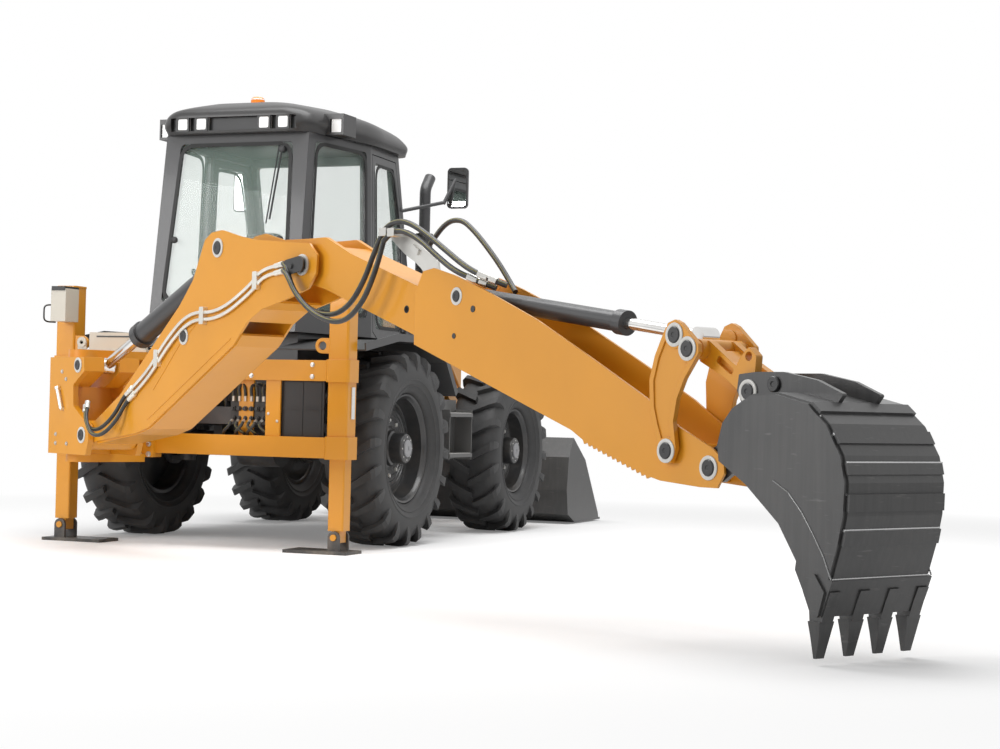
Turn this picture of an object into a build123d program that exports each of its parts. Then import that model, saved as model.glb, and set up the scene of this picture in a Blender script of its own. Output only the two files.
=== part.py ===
"""Backhoe loader: front loader, cab, four steered wheels and a side-shift hoe.

The machine is drawn in millimetres with +X forward, +Y to its left and +Z up, from a point on the
floor under the rear axle. The hoe is drawn in the plane of its arm, with s along the arm, z up and
w across it, and every piece is moved at the end so that the origin is under the middle of the box.
"""
import os
from math import atan2, cos, degrees, hypot, pi, radians, sin, sqrt, tan

from build123d import *

# Clearances
FIT = 0.3
RUN = 5.0
SLIDE_GAP = 0.5
PIN_GAP = 0.05

# Wheels and axles
WHEELBASE = 2225.0
WHEEL_Y = 986.0
KINGPIN_Y = 640.0
TYRE_WIDTH = 440.0
REAR_TYRE_R = 700.0
FRONT_TYRE_R = 660.0
REAR_RIM_R = 372.0
FRONT_RIM_R = 322.0
LUG_HEIGHT = 38.0
LUG_COUNT = 20
TYRE_SIDES = 20
RIM_WIDTH = 300.0
FLANGE = 12.0
FLANGE_RISE = 20.0
HUB_R = 128.0
STEER_LIMIT = 20.0
HOUSING_R = 92.0
KINGPIN_R = 40.0
YOKE_GAP = 104.0
YOKE_THICK = 32.0
FLANGE_OUT = 94.0
DIFF_R = 165.0

# Chassis
RAIL_Y = 300.0
RAIL_THICK = 70.0
RAIL_LOW = 830.0
RAIL_HIGH = 1010.0
RAIL_FRONT = 2860.0
FRAME_BACK = -900.0

# Slide frame at the back
LEG_X = -935.5
LEG_Y = 1069.0
TUBE_SIZE = 150.0
TUBE_WALL = 14.0
TUBE_LOW = 640.0
TUBE_HIGH = 1785.0
BEAM_BACK = -1010.0
BEAM_DEPTH = 58.0
BEAM_HEIGHT = 140.0
UPPER_BEAM_LOW = 1157.0
LOWER_BEAM_LOW = 639.0
COLLAR = 12.0
EYE_R = 30.0
EYE_WALL = 22.0
EYE_Z = 1395.0
EYE_X = -995.0
EYE_THICK = 20.0

# Stabilisers
INNER_LEG = 116.0
INNER_LOW = 95.0
INNER_HIGH = 1290.0
PAD_PIN_Z = 112.0
PAD_LONG = 470.0
PAD_WIDE = 250.0
PAD_INWARD = 120.0
PAD_EAR = 42.0
PAD_THICK = 22.0
PAD_PIN_R = 22.0

# Cab
CAB_WALL = 55.0
GLASS = 6.0
WAIST_Z = 1500.0
ROOF_LOW = 2915.0
DOOR_GAP = 6.0
FLOOR_Z = 1050.0

# Bonnet
BONNET_BACK = 1262.0
BONNET_FRONT = 2930.0
BONNET_LOW = 1060.0
BONNET_HIGH = 1860.0
BONNET_NOSE = 1600.0
BONNET_HALF = 368.0
BONNET_WALL = 14.0
COWL_FRONT = 1254.0
COWL_TOP = 1826.0
COWL_HALF = 350.0
HINGE_X = 1236.0
HINGE_Z = 1856.0
HINGE_R = 12.0

# Loader, in the side plane
ARM_PIVOT = (1400.0, 1420.0)
ARM_KNEE = (2250.0, 1340.0)
ARM_ELBOW = (3060.0, 640.0)
BUCKET_PIN = (3310.0, 260.0)
TILT_PIN = (3385.0, 600.0)
TILT_BASE = (2300.0, 1510.0)
LIFT_BASE = (1450.0, 850.0)
LIFT_LUG = (2250.0, 1105.0)
ARM_Y = 395.0
ARM_THICK = 80.0
TOWER_PLATE = 13.0
LIFT_PIN_R = 15.0
LUG_PLATE = 10.0
LOADER_HALF = 1200.0
LOADER_BACK = 3400.0
LOADER_FRONT = 4355.0
LOADER_HEIGHT = 760.0
LOADER_CLEAR = 12.0

# Hoe: kingpost, swing and arm plane
POST_X = -1435.0
POST_Y = 633.0
SWING = 240.0
FOOT = (386.0, 763.0)
ROD_PIN = (316.0, 1223.0)
ELBOW = (2900.0, 1780.0)
BOOM_PIN = (1980.0, 1920.0)
CROWD_BASE = (1606.0, 1396.0)
TAIL_PIN = (2551.0, 1869.0)
LEVER_PIN = (5885.0, 829.0)
LINK_PIN = (6006.0, 1280.0)
ROCK_PIN = (5923.0, 1342.0)
NOSE_PIN = (6117.0, 762.0)
EAR_PIN = (6320.0, 1096.0)
CURL_BASE = (4305.0, 1562.0)
BOOM_HALF = 160.0
BOOM_PLATE = 14.0
DIPPER_HALF = 118.0
DIPPER_HIGH = 250.0
DIPPER_WALL = 14.0
OUTER_HALF = 155.0
OUTER_PLATE = 12.0
LEVER_NEAR = 166.0
LEVER_THICK = 24.0
BUCKET_HALF = 310.0
EAR_NEAR = 104.0
EAR_THICK = 26.0
TOWER_HALF = 204.0
BOOM_PIN_R = 38.0
CROWD_PIN_R = 32.0
CURL_PIN_R = 26.0
SLIDE_FALL = 17.7
TOOTH_W = (-270.0, -90.0, 90.0, 270.0)

ARM = Plane(
    origin=(POST_X, POST_Y, 0),
    x_dir=(cos(radians(SWING)), sin(radians(SWING)), 0),
    z_dir=(sin(radians(SWING)), -cos(radians(SWING)), 0),
)
SIDE = Plane(origin=(0, 0, 0), x_dir=(1, 0, 0), z_dir=(0, -1, 0))
pieces = {}


def keep(name, part):
    """Labels a finished piece and keeps it for export."""
    part.label = name
    pieces[name] = part


def outline(points, corner=0, bores=()):
    """A closed outline with rounded corners and bores, each bore a place and a radius."""
    with BuildSketch() as shape:
        with BuildLine():
            Polyline(*points, close=True)
        make_face()
        if corner:
            fillet(shape.vertices(), corner)
        for place, radius in bores:
            with Locations(place):
                Circle(radius, mode=Mode.SUBTRACT)
    return shape.sketch


def slab(plane, low, high, sketch, mode=Mode.ADD):
    """Adds a sketch as a plate between two distances from a plane."""
    base = plane.offset(low)
    extrude(base.location * sketch, amount=high - low, dir=base.z_dir, mode=mode)


def block(xs, ys, zs, mode=Mode.ADD):
    """Adds a box between two values on each axis."""
    with Locations(((xs[0] + xs[1]) / 2, (ys[0] + ys[1]) / 2, (zs[0] + zs[1]) / 2)):
        Box(abs(xs[1] - xs[0]), abs(ys[1] - ys[0]), abs(zs[1] - zs[0]), mode=mode)


def bar(start, end, radius, mode=Mode.ADD):
    """Adds a round bar from one point to another."""
    start = Vector(start)
    run = Vector(end) - start
    with BuildSketch(Plane(origin=start, z_dir=run)) as section:
        Circle(radius)
    extrude(section.sketch, amount=run.length, dir=run.normalized(), mode=mode)


def arm_point(place, w=0.0):
    """A point of the arm's plane in the machine's frame."""
    return ARM.from_local_coords(Vector(place[0], place[1], w))


def side_point(place, y=0.0):
    """A point of the side view in the machine's frame."""
    return Vector(place[0], y, place[1])


def cross_pin(plane, place, radius, low, high, mode=Mode.ADD):
    """Adds a pin across a plane."""
    with BuildSketch(plane.offset(low)) as section:
        with Locations(place):
            Circle(radius)
    extrude(section.sketch, amount=high - low, dir=plane.z_dir, mode=mode)


def along(start, end, distance):
    """The point at a distance from start towards end."""
    length = hypot(end[0] - start[0], end[1] - start[1])
    share = distance / length
    return (start[0] + (end[0] - start[0]) * share, start[1] + (end[1] - start[1]) * share)


def cylinder_pair(plane, base, eye, bore, rod, barrel_end, rod_start, widths, pin_radius, name):
    """A cylinder's barrel and rod between two pins; widths are half-widths of the two eyes."""
    total = hypot(eye[0] - base[0], eye[1] - base[1])
    to_machine = plane.from_local_coords

    def spot(distance, w=0.0):
        place = along(base, eye, distance)
        return to_machine(Vector(place[0], place[1], w))

    inner = rod + FIT
    with BuildPart() as barrel:
        bar(spot(pin_radius + 12), spot(barrel_end - 60), bore)
        bar(spot(barrel_end - 60), spot(barrel_end), bore + 12)
        cross_pin(plane, base, pin_radius * 1.75, -widths[0], widths[0])
        cross_pin(plane, base, pin_radius + PIN_GAP, -widths[0] - 1, widths[0] + 1, Mode.SUBTRACT)
        bar(spot(pin_radius * 1.75 + 14), spot(barrel_end + 1), inner, Mode.SUBTRACT)
    with BuildPart() as ram:
        bar(spot(rod_start), spot(total - rod * 0.8), rod)
        cross_pin(plane, eye, rod * 1.5, -widths[1], widths[1])
    keep(name + "_barrel", barrel.part)
    keep(name + "_rod", ram.part)


# Tyre: many-sided rings joined by flat strips, with two rows of slanting lugs that run down the walls
def tyre_ring(radius, w):
    """One ring of the tyre as a many-sided outline at a distance along the axle."""
    with BuildSketch(Plane.XZ.offset(-w)) as section:
        RegularPolygon(radius, TYRE_SIDES)
    return section.sketch


def lug_face(across, height, hand, out):
    """A lug's outline at a height above the axle; across gives its two inner and two outer places."""
    near_back, near_front, far_front, far_back = across
    with BuildSketch(Plane.XY.offset(height)) as face:
        with BuildLine():
            Polyline(
                (near_back, hand * -6), (near_front, hand * -6), (far_front, hand * out),
                (far_back, hand * out), close=True,
            )
        make_face()
    return face.sketch


def tyre(radius, rim_radius, axle_x, side, axle_z):
    half = TYRE_WIDTH / 2
    tread = radius - LUG_HEIGHT
    middle = (tread + rim_radius) / 2
    bead = RIM_WIDTH / 2 - FLANGE - 2
    bead_radius = (rim_radius + FLANGE_RISE + 2) / cos(pi / TYRE_SIDES)
    top = sqrt(radius**2 - 88**2)
    with BuildPart() as whole:
        loft([
            tyre_ring(middle, 8 - half), tyre_ring(tread, 80 - half),
            tyre_ring(tread, half - 80), tyre_ring(middle, half - 8),
        ], ruled=True)
        for hand in (1, -1):
            with BuildPart(mode=Mode.PRIVATE) as lug:
                loft([
                    lug_face((-100, -24, 80, 24), top - 150, hand, half),
                    lug_face((-88, -36, 88, 8), top, hand, half - 16),
                ], ruled=True)
            step = 360 / LUG_COUNT
            first = step / 4 * (1 + hand)
            add([lug.part.rotate(Axis.Y, first + step * number) for number in range(LUG_COUNT)])
            loft([
                tyre_ring(middle, hand * (half + 1)), tyre_ring(bead_radius, hand * bead),
            ], ruled=True, mode=Mode.SUBTRACT)
        with BuildSketch(Plane.XZ.offset(-half - 1)):
            RegularPolygon(rim_radius, TYRE_SIDES, major_radius=False)
        extrude(amount=TYRE_WIDTH + 2, mode=Mode.SUBTRACT)
    placed = whole.part if side > 0 else whole.part.rotate(Axis.Z, 180)
    return Location((axle_x, side * WHEEL_Y, axle_z)) * placed


# Rim: turned wheel disc with its hub cap, open towards the axle for the knuckle
def rim(rim_radius, axle_x, side, axle_z):
    half = RIM_WIDTH / 2
    face = half - 12
    dish = face - 92
    with BuildPart() as wheel:
        with BuildSketch(Plane.XY):
            with BuildLine():
                Polyline(
                    (rim_radius + FLANGE_RISE, half),
                    (rim_radius + FLANGE_RISE, half - FLANGE),
                    (rim_radius - FIT, half - FLANGE),
                    (rim_radius - FIT, FLANGE - half),
                    (rim_radius + FLANGE_RISE, FLANGE - half),
                    (rim_radius + FLANGE_RISE, -half),
                    (rim_radius - 12, -half),
                    (rim_radius - 12, dish - 52),
                    (HUB_R - 30, dish - 46),
                    (HUB_R - 30, dish + 40),
                    (0, dish + 40),
                    (0, face + 24),
                    (HUB_R - 22, face + 24),
                    (HUB_R, face + 6),
                    (HUB_R, dish + 14),
                    (HUB_R + 40, dish - 26),
                    (rim_radius - 60, dish - 26),
                    (rim_radius - 12, dish - 38),
                    (rim_radius - 12, half),
                    close=True,
                )
            make_face()
        revolve(axis=Axis.Y)
    placed = wheel.part if side > 0 else wheel.part.rotate(Axis.Z, 180)
    return Location((axle_x, side * WHEEL_Y, axle_z)) * placed


AXLES = (
    # name, x, wheel radius, rim radius
    ("rear", 0.0, REAR_TYRE_R, REAR_RIM_R),
    ("front", WHEELBASE, FRONT_TYRE_R, FRONT_RIM_R),
)
SIDES = (("left", 1), ("right", -1))
for axle, axle_x, tyre_radius, rim_radius in AXLES:
    for hand, side in SIDES:
        keep(f"{axle}_{hand}_tyre", tyre(tyre_radius, rim_radius, axle_x, side, tyre_radius))
        keep(f"{axle}_{hand}_rim", rim(rim_radius, axle_x, side, tyre_radius))
        # Steering knuckle: kingpin bosses and the hub that carries the rim
        spindle_end = WHEEL_Y + RIM_WIDTH / 2 - 12 - 92 + 40 - RUN
        with BuildPart() as knuckle:
            for low in (YOKE_GAP, -YOKE_GAP - YOKE_THICK):
                with BuildSketch(Plane.XY.offset(tyre_radius + low)):
                    with Locations((axle_x, side * KINGPIN_Y)):
                        Circle(KINGPIN_R + 24)
                    with Locations((axle_x, side * (KINGPIN_Y + FLANGE_OUT / 2))):
                        Rectangle(2 * KINGPIN_R + 48, FLANGE_OUT)
                    with Locations((axle_x, side * KINGPIN_Y)):
                        Circle(KINGPIN_R + PIN_GAP, mode=Mode.SUBTRACT)
                extrude(amount=YOKE_THICK)
            bar(
                (axle_x, side * (KINGPIN_Y + FLANGE_OUT), tyre_radius),
                (axle_x, side * (KINGPIN_Y + FLANGE_OUT + 24), tyre_radius),
                165,
            )
            bar(
                (axle_x, side * (KINGPIN_Y + FLANGE_OUT + 24), tyre_radius),
                (axle_x, side * spindle_end, tyre_radius),
                HUB_R - 30 - PIN_GAP,
            )
        keep(f"{axle}_{hand}_knuckle", knuckle.part)

# Axle housings: a tube with the differential bulb and a pad under each rail
with BuildPart() as housings:
    for axle, axle_x, tyre_radius, rim_radius in AXLES:
        reach = KINGPIN_Y
        bar((axle_x, -reach, tyre_radius), (axle_x, reach, tyre_radius), HOUSING_R)
        bar((axle_x, -150, tyre_radius), (axle_x, 150, tyre_radius), DIFF_R)
        for side in (1, -1):
            block(
                (axle_x - 90, axle_x + 90),
                (side * RAIL_Y, side * (RAIL_Y + RAIL_THICK)),
                (tyre_radius, RAIL_LOW),
            )
            for radius, rise in ((HOUSING_R - 20, YOKE_GAP - PIN_GAP), (KINGPIN_R, YOKE_GAP + YOKE_THICK)):
                bar(
                    (axle_x, side * KINGPIN_Y, tyre_radius - rise),
                    (axle_x, side * KINGPIN_Y, tyre_radius + rise),
                    radius,
                )
keep("axle_housings", housings.part)

# Chassis: two rails, cross members, loader towers and a nose block
with BuildPart() as frame:
    for side in (1, -1):
        block(
            (FRAME_BACK, RAIL_FRONT),
            (side * RAIL_Y, side * (RAIL_Y + RAIL_THICK)),
            (RAIL_LOW, RAIL_HIGH),
        )
        tower = outline(
            [(1330, RAIL_LOW - 40), (1570, RAIL_LOW - 40), (1500, 1200), (1480, 1500), (1320, 1500)],
            20,
        )
        middle = -side * (ARM_Y + ARM_THICK / 2)
        gap = ARM_THICK / 2 + RUN
        for low in (middle - gap - TOWER_PLATE, middle + gap):
            slab(SIDE, low, low + TOWER_PLATE, tower)
        reach = gap + TOWER_PLATE
        slab(SIDE, middle - reach, middle + reach, outline(
            [(1340, RAIL_LOW - 40), (1560, RAIL_LOW - 40), (1560, RAIL_LOW - 20), (1340, RAIL_LOW - 20)]
        ))
        block(
            (1350, 1550),
            (side * (RAIL_Y + RAIL_THICK), side * (ARM_Y - RUN - 2)),
            (RAIL_LOW, RAIL_HIGH),
        )
        cross_pin(SIDE, ARM_PIVOT, 32, middle - reach - 6, middle + reach + 6)
        cross_pin(SIDE, LIFT_BASE, LIFT_PIN_R, middle - reach - 6, middle + reach + 6)
    for cross_x in (-820, 600, 1430, 2560):
        block((cross_x - 60, cross_x + 60), (-RAIL_Y, RAIL_Y), (RAIL_LOW + 20, RAIL_HIGH - 40))
    block(
        (RAIL_FRONT, BONNET_FRONT - 10),
        (-RAIL_Y - RAIL_THICK, RAIL_Y + RAIL_THICK),
        (RAIL_LOW - 120, RAIL_HIGH),
    )
    block((1370, 1530), (-ARM_Y + 30, ARM_Y - 30), (RAIL_HIGH, RAIL_HIGH + 24))
keep("main_frame", frame.part)

# Slide frame: outer leg tubes, two slide beams, collars and the plates to the rails
with BuildPart() as slide_frame:
    half = TUBE_SIZE / 2
    for side in (1, -1):
        with BuildSketch(Plane.XY.offset(TUBE_LOW)):
            with Locations((LEG_X, side * LEG_Y)):
                RectangleRounded(TUBE_SIZE, TUBE_SIZE, 16)
                Rectangle(
                    TUBE_SIZE - 2 * TUBE_WALL, TUBE_SIZE - 2 * TUBE_WALL, mode=Mode.SUBTRACT
                )
        extrude(amount=TUBE_HIGH - TUBE_LOW)
        with BuildSketch(Plane.XY.offset(TUBE_HIGH)):
            with Locations((LEG_X, side * LEG_Y)):
                RectangleRounded(TUBE_SIZE + 6, TUBE_SIZE + 6, 18)
        extrude(amount=14)
        for collar_low in (UPPER_BEAM_LOW, LOWER_BEAM_LOW):
            with BuildSketch(Plane.XY.offset(collar_low - 6)):
                with Locations((LEG_X, side * LEG_Y)):
                    RectangleRounded(TUBE_SIZE + 2 * COLLAR, TUBE_SIZE + 2 * COLLAR, 22)
                    Rectangle(
                        INNER_LEG + 2 * SLIDE_GAP, INNER_LEG + 2 * SLIDE_GAP, mode=Mode.SUBTRACT
                    )
            extrude(amount=BEAM_HEIGHT + 12)
    beam_reach = LEG_Y - half
    for beam_low in (UPPER_BEAM_LOW, LOWER_BEAM_LOW):
        block(
            (BEAM_BACK, BEAM_BACK + BEAM_DEPTH),
            (-beam_reach, beam_reach),
            (beam_low, beam_low + BEAM_HEIGHT),
        )
    for side in (1, -1):
        block(
            (BEAM_BACK + BEAM_DEPTH, BEAM_BACK + BEAM_DEPTH + 20),
            (side * RAIL_Y, side * (RAIL_Y + 110)),
            (LOWER_BEAM_LOW + 48, UPPER_BEAM_LOW + BEAM_HEIGHT - 60),
        )
        block(
            (BEAM_BACK + BEAM_DEPTH, FRAME_BACK),
            (side * RAIL_Y, side * (RAIL_Y + RAIL_THICK)),
            (RAIL_LOW, RAIL_HIGH),
        )
    # Tie-down eyes beside the upper collars
    for side in (1, -1):
        eye_y = side * (beam_reach - EYE_R - EYE_WALL)
        with BuildSketch(Plane.YZ.offset(EYE_X)):
            with Locations((eye_y, EYE_Z)):
                Circle(EYE_R + EYE_WALL)
            with Locations((side * (beam_reach - (EYE_R + EYE_WALL) / 2), EYE_Z)):
                Rectangle(EYE_R + EYE_WALL, 2 * EYE_R + 2 * EYE_WALL)
            with Locations((eye_y, EYE_Z)):
                Circle(EYE_R, mode=Mode.SUBTRACT)
        extrude(amount=EYE_THICK)
keep("slide_frame", slide_frame.part)

# Stabiliser legs and pads
for hand, side in SIDES:
    with BuildPart() as leg:
        with BuildSketch(Plane.XY.offset(INNER_LOW + 60)):
            with Locations((LEG_X, side * LEG_Y)):
                RectangleRounded(INNER_LEG, INNER_LEG, 12)
        extrude(amount=INNER_HIGH - INNER_LOW - 60)
        block(
            (LEG_X - 50, LEG_X + 50),
            (side * (LEG_Y - 30), side * (LEG_Y + 30)),
            (PAD_PIN_Z - 36, INNER_LOW + 70),
        )
        bar(
            (LEG_X - 90, side * LEG_Y, PAD_PIN_Z),
            (LEG_X + 90, side * LEG_Y, PAD_PIN_Z),
            PAD_PIN_R,
        )
    keep(f"stabiliser_leg_{hand}", leg.part)
    with BuildPart() as pad:
        block(
            (LEG_X - PAD_WIDE / 2, LEG_X + PAD_WIDE / 2),
            (
                side * (LEG_Y - PAD_INWARD - PAD_LONG / 2),
                side * (LEG_Y - PAD_INWARD + PAD_LONG / 2),
            ),
            (0, PAD_THICK),
        )
        for end in (-1, 1):
            near = LEG_X + end * (INNER_LEG / 2 + RUN)
            far = LEG_X + end * (INNER_LEG / 2 + RUN + 18)
            with BuildSketch(Plane.YZ.offset(min(near, far))):
                with Locations((side * LEG_Y, PAD_PIN_Z)):
                    Circle(PAD_EAR)
                with Locations((side * LEG_Y, (PAD_PIN_Z + PAD_THICK) / 2)):
                    Rectangle(2 * PAD_EAR, PAD_PIN_Z - PAD_THICK)
                with Locations((side * LEG_Y, PAD_PIN_Z)):
                    Circle(PAD_PIN_R + FIT, mode=Mode.SUBTRACT)
            extrude(amount=18)
    keep(f"stabiliser_pad_{hand}", pad.part)

# Engine and gearbox as plain blocks
with BuildPart() as powertrain:
    block((1490, 2500), (-200, 200), (RAIL_LOW + 20, RAIL_HIGH - 50))
    block((1540, 2480), (-240, 240), (RAIL_HIGH - 50, 1440))
    block((660, 1370), (-210, 210), (600, 960))
keep("engine_block", powertrain.part)

# Bonnet: a lofted shell, open below and at both ends, with side louvres
def bonnet_section(x, high, half, inset):
    with BuildSketch(Plane(origin=(x, 0, 0), x_dir=(0, 1, 0), z_dir=(1, 0, 0))) as section:
        with BuildLine():
            Polyline(
                (-half + inset, BONNET_LOW - inset),
                (half - inset, BONNET_LOW - inset),
                (half - inset, high - 110),
                (half - 100, high - inset),
                (-half + 100, high - inset),
                (-half + inset, high - 110),
                close=True,
            )
        make_face()
    return section.sketch


with BuildPart() as bonnet:
    loft([
        bonnet_section(BONNET_BACK, BONNET_HIGH, BONNET_HALF, 0),
        bonnet_section(BONNET_FRONT, BONNET_NOSE, BONNET_HALF, 0),
    ])
    loft([
        bonnet_section(BONNET_BACK - 1, BONNET_HIGH, BONNET_HALF, BONNET_WALL),
        bonnet_section(BONNET_FRONT + 1, BONNET_NOSE, BONNET_HALF, BONNET_WALL),
    ], mode=Mode.SUBTRACT)
    for number in range(6):
        slot_z = 1180 + number * 44
        block((2250, 2650), (-BONNET_HALF - 1, BONNET_HALF + 1), (slot_z, slot_z + 20), Mode.SUBTRACT)
    for side in (1, -1):
        low = 160 if side > 0 else -210
        slab(SIDE, low, low + 50, outline([
            (HINGE_X, HINGE_Z - 12), (BONNET_BACK + 40, HINGE_Z - 12),
            (BONNET_BACK + 40, HINGE_Z - 2), (HINGE_X, HINGE_Z + 12),
        ]))
        cross_pin(SIDE, (HINGE_X, HINGE_Z), HINGE_R + 9, low, low + 50)
        cross_pin(SIDE, (HINGE_X, HINGE_Z), HINGE_R + PIN_GAP, low - 1, low + 51, Mode.SUBTRACT)
keep("bonnet", bonnet.part)

# Grille: a framed panel with upright slats inside the bonnet's nose
with BuildPart() as grille:
    grille_half = BONNET_HALF - BONNET_WALL - RUN - 4
    block(
        (BONNET_FRONT - 50, BONNET_FRONT - 20), (-grille_half, grille_half),
        (RAIL_HIGH, BONNET_NOSE - 130),
    )
    slot = 22
    pitch = 44
    count = int(2 * (grille_half - 30) / pitch)
    for number in range(count):
        middle = (number - (count - 1) / 2) * pitch
        block(
            (BONNET_FRONT - 51, BONNET_FRONT - 19), (middle - slot / 2, middle + slot / 2),
            (RAIL_HIGH + 40, BONNET_NOSE - 160), Mode.SUBTRACT,
        )
keep("front_grille", grille.part)


# Cab skin: a six-sided loft, narrower at the back and at the top
WAIST = ((-700, 585), (270, 720), (1200, 660))
EAVES = ((-523, 569.6), (270, 680), (860, 642))


def ring(points, z, inset):
    """The cab's outline at a height, moved in by inset."""
    left = [Vector(x, y, z) for x, y in points]
    right = [Vector(x, -y, z) for x, y in reversed(points)]
    with BuildSketch(Plane.XY.offset(z)) as section:
        with BuildLine():
            Polyline(*[(v.X, v.Y) for v in left + right], close=True)
        make_face()
        if inset:
            offset(amount=-inset, kind=Kind.INTERSECTION)
    return section.sketch


def skin(inset, low=WAIST_Z, high=ROOF_LOW):
    """The cab's glazed body as a solid, moved in by inset."""
    with BuildPart() as body:
        loft([ring(WAIST, low, inset), ring(EAVES, high, inset)], ruled=True)
    return body.part


DOOR_BACK = 300.0
DOOR_FRONT = 960.0
DOOR_LOW = 1150.0
DOOR_TOP = 2860.0
DOOR_INNER = 588.0
DOOR_ARCH = 895.0
DOOR_HINGE_X = DOOR_FRONT + 5
HINGE_Y = 690.0
HINGE_ZS = (1570.0, 2240.0)
HINGE_TALL = 70.0


def door_outline(gap):
    """The door seen from the side, smaller by gap: arch, upright back and leaning front."""
    arch = DOOR_ARCH + gap
    low = DOOR_LOW + gap
    back = DOOR_BACK + gap
    return outline([
        (back, REAR_TYRE_R + sqrt(arch**2 - back**2)),
        (540, REAR_TYRE_R + sqrt(arch**2 - 540**2)),
        (sqrt(arch**2 - (low - REAR_TYRE_R) ** 2), low),
        (DOOR_FRONT - gap, low),
        (DOOR_FRONT - gap, 2350),
        (800 - gap, DOOR_TOP - gap),
        (back, DOOR_TOP - gap),
    ])


side_window = outline([(-560, 1640), (215, 1640), (215, 2860), (-445, 2860)], 30)
rear_window = outline([(-500, 1700), (500, 1700), (448, 2850), (-448, 2850)], 40)
front_window = outline([
    (-560, 1560), (-COWL_HALF - 20, 1560), (-COWL_HALF - 20, COWL_TOP + 20),
    (COWL_HALF + 20, COWL_TOP + 20), (COWL_HALF + 20, 1560), (560, 1560), (560, 2850), (-560, 2850),
], 30)
door_window = outline([
    (DOOR_BACK + 60, 1570), (DOOR_FRONT - 60, 1570), (DOOR_FRONT - 60, 2330), (758, 2800),
    (DOOR_BACK + 60, 2800),
], 30)
BACK = Plane(origin=(0, 0, 0), x_dir=(0, -1, 0), z_dir=(-1, 0, 0))


def pane_prisms():
    """The fixed windows' openings as prisms through the cab's walls."""
    with BuildPart() as prisms:
        slab(SIDE, -900, -400, side_window)
        slab(SIDE, 400, 900, side_window)
        slab(BACK, 300, 900, rear_window)
        slab(BACK, -1195, -700, front_window)
    return prisms.part


fixed_openings = pane_prisms()
with BuildPart() as cab:
    add(skin(0))
    block((-480, 1180), (-500, 500), (FLOOR_Z - 40, WAIST_Z))
    for side in (1, -1):
        with BuildSketch(SIDE.offset(-side * 610 - 105)):
            with BuildLine():
                Polyline(
                    (620, WAIST_Z), (1200, WAIST_Z), (1180, DOOR_LOW - 60), (806, DOOR_LOW - 60),
                    close=True,
                )
            make_face()
        extrude(amount=210, dir=SIDE.z_dir)
    block((1100, COWL_FRONT), (-COWL_HALF, COWL_HALF), (BONNET_LOW, COWL_TOP))
    for side in (1, -1):
        block(
            (HINGE_X - 14, HINGE_X + 14), (side * 222, side * 238), (COWL_TOP - 20, HINGE_Z + 14)
        )
    bar((HINGE_X, -238, HINGE_Z), (HINGE_X, 238, HINGE_Z), HINGE_R)
    add(skin(CAB_WALL, WAIST_Z + 1, ROOF_LOW + 1), mode=Mode.SUBTRACT)
    block((-440, 1140), (-460, 460), (FLOOR_Z, WAIST_Z + 2), Mode.SUBTRACT)
    block((800, 1140), (-660, 660), (DOOR_LOW - 20, WAIST_Z + 2), Mode.SUBTRACT)
    add(fixed_openings, mode=Mode.SUBTRACT)
    slab(SIDE, -900, -DOOR_INNER, door_outline(0), Mode.SUBTRACT)
    slab(SIDE, DOOR_INNER, 900, door_outline(0), Mode.SUBTRACT)
    for side in (1, -1):
        for hinge_z in HINGE_ZS:
            for low in (hinge_z - 26 - FIT, hinge_z + HINGE_TALL + FIT):
                bar(
                    (DOOR_HINGE_X, side * HINGE_Y, low), (DOOR_HINGE_X, side * HINGE_Y, low + 26),
                    HINGE_R,
                )
                block(
                    (DOOR_HINGE_X, DOOR_HINGE_X + 46), (side * (HINGE_Y - 60), side * (HINGE_Y + 6)),
                    (low, low + 26),
                )
keep("cab_shell", cab.part)

with BuildPart() as glass:
    add(skin(20))
    add(skin(20 + GLASS, WAIST_Z - 1, ROOF_LOW + 1), mode=Mode.SUBTRACT)
    add(fixed_openings, mode=Mode.INTERSECT)
keep("cab_glass", glass.part)


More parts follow.
